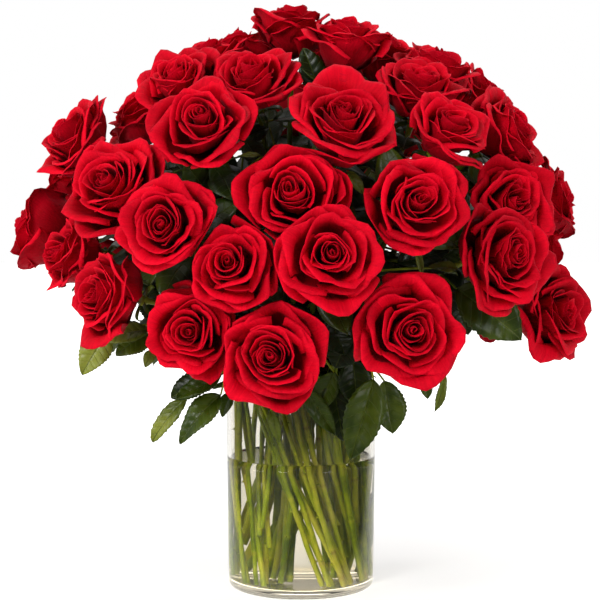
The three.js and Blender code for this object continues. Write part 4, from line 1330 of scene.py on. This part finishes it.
def arc(centre, radius, start, end, steps):
    angles = np.radians(np.linspace(start, end, steps + 1))
    return [(centre[0] + radius * math.cos(a), centre[1] + radius * math.sin(a)) for a in angles]


def dress_vase(glass):
    """Vase with a hollow underside, a rounded foot, a round rim and a rounded corner inside."""
    half, corner = VASE_WALL / 2, VASE_FOOT_CORNER
    low = VASE_FLOOR + VASE_INNER_CORNER
    outline = [(0, 0.4), (VASE_FOOT_RADIUS - 22, 0.3), (VASE_FOOT_RADIUS - 14, 0)]
    outline += arc((VASE_FOOT_RADIUS - corner, corner), corner, -90, 0, 8)
    outline += [(between(VASE_FOOT_RADIUS, VASE_RIM_RADIUS, s), between(corner, VASE_HEIGHT - half, s))
                for s in (0.1, 0.25, 0.5, 0.75, 0.95)]
    outline += arc((VASE_RIM_RADIUS - half, VASE_HEIGHT - half), half, 0, 180, 8)
    outline += [(inner_radius(z), z) for z in (190, 150, 100, 60, 30)]
    outline += arc((inner_radius(low) - VASE_INNER_CORNER, low), VASE_INNER_CORNER, 0, -90, 6)
    outline += [(VASE_FLOOR_RING, VASE_FLOOR), (0, VASE_FLOOR)]
    piece = finished_piece("vase", turned_mesh("vase", outline), ["glass_vase"])
    piece.data.materials.append(glass)


def dress_water(water):
    """Water that fills the vase to its level, a little way into the glass, drawn up at its edge."""
    low, bottom = VASE_FLOOR + VASE_INNER_CORNER, VASE_FLOOR - WATER_SOAK
    outline = [(0, bottom), (VASE_FLOOR_RING, bottom)]
    outline += arc((inner_radius(low) - VASE_INNER_CORNER, low), VASE_INNER_CORNER + WATER_SOAK, -90, 0, 6)
    outline += [(inner_radius(z) + WATER_SOAK, z) for z in (30, 60, 100, 125)]
    outline += [(inner_radius(WATER_LEVEL) - inwards, WATER_LEVEL + up) for inwards, up in WATER_EDGE]
    outline += [(40, WATER_LEVEL), (0, WATER_LEVEL)]
    piece = finished_piece("water_in_vase", turned_mesh("water_in_vase", outline), ["water"])
    piece.data.materials.append(water)


def build_object():
    home = bpy.data.collections.new("helpers")
    bpy.context.scene.collection.children.link(home)
    petals = bpy.data.collections.new("petal kinds")
    for k in range(PETAL_KINDS):
        grid = petal_grid(k / (PETAL_KINDS - 1), 1 if k % 2 else -1)
        helper_object(f"petal_{k:02d}", blade_mesh(f"petal_{k:02d}", *grid), petals)
    leaflets = bpy.data.collections.new("growth kinds")
    for k, grid in enumerate([*(leaflet_grid(*shape) for shape in LEAFLET_SHAPES), sepal_grid()]):
        helper_object(f"growth_{k}", blade_mesh(f"growth_{k}", *grid), leaflets)
    thorn = helper_object("thorn", thorn_mesh(), home)
    petal = petal_finish()
    materials = {"leaf": leaf_finish(), "stem": stem_finish()}
    roses = [Rose(index, row) for index, row in enumerate(ROSES)]
    for rose in roses:
        rose.meet(roses)
    route_stems(roses)
    spiral = bloom_tree()
    for rose in roses:
        dress_bloom(rose, spiral, petals, petal, home)
    greenery = stems_tree()
    for g in range(len(GROUPS)):
        dress_stems(g, roses, greenery, leaflets, thorn, materials, home)
    dress_vase(clear_finish("clear_glass", GLASS_BODY, GLASS_RIM, GLASS_FOOT, ior=1.47))
    dress_water(clear_finish("still_water", WATER_BODY, WATER_RIM, WATER_BODY, ior=1.333))
    for kept in (home, petals, leaflets):
        for thing in list(kept.objects):
            bpy.data.objects.remove(thing)
        bpy.data.collections.remove(kept)


def build_stage():
    """Round pale floor, white surroundings, soft lights and the camera."""
    rim = [tuple(direction(360 * k / FLOOR_SIDES) * FLOOR_RADIUS) for k in range(FLOOR_SIDES)]
    mesh = new_mesh("floor", rim, [range(FLOOR_SIDES)])
    floor = bpy.data.objects.new("floor", mesh)
    bpy.context.scene.collection.objects.link(floor)
    mesh.materials.append(floor_finish())

    world = bpy.data.worlds.new("studio")
    bpy.context.scene.world = world
    world.use_nodes = True
    studio = Nodes(world.node_tree)
    way = studio.node("ShaderNodeTexCoord").outputs["Generated"]
    depth = studio.node("ShaderNodeSeparateXYZ", None, way).outputs["Y"]
    around = studio.span(depth, (-0.6, 0.5), (0.12, 0.55))
    seen = studio.node("ShaderNodeLightPath").outputs["Is Camera Ray"]
    strength = studio.node("ShaderNodeMix", None, seen)
    studio.feed(strength, 2, around)
    studio.feed(strength, 3, 1.0)
    backdrop = world.node_tree.nodes["Background"]
    studio.feed(backdrop, 0, WHITE)
    studio.feed(backdrop, 1, strength.outputs[0])

    for name, place, aim, width, height, power in LIGHTS:
        light = bpy.data.lights.new(name, "AREA")
        light.shape = "RECTANGLE"
        light.size, light.size_y = width, height
        light.energy = power
        lamp = bpy.data.objects.new(name, light)
        bpy.context.scene.collection.objects.link(lamp)
        lamp.location = place
        lamp.rotation_euler = (Vector((0, 0, aim)) - Vector(place)).to_track_quat("-Z", "Y").to_euler()

    camera = bpy.data.cameras.new("camera")
    camera.sensor_width = SENSOR_WIDTH
    camera.lens = SENSOR_WIDTH * PICTURE_FOCUS / PICTURE_SIDE
    camera.shift_x = PICTURE_SHIFT / PICTURE_SIDE
    eye = bpy.data.objects.new("camera", camera)
    bpy.context.scene.collection.objects.link(eye)
    eye.location = CAMERA_PLACE
    eye.rotation_euler = (math.radians(90 - CAMERA_DIP), 0, 0)
    bpy.context.scene.camera = eye
    bpy.context.scene.view_settings.view_transform = "Standard"


build_object()
build_stage()
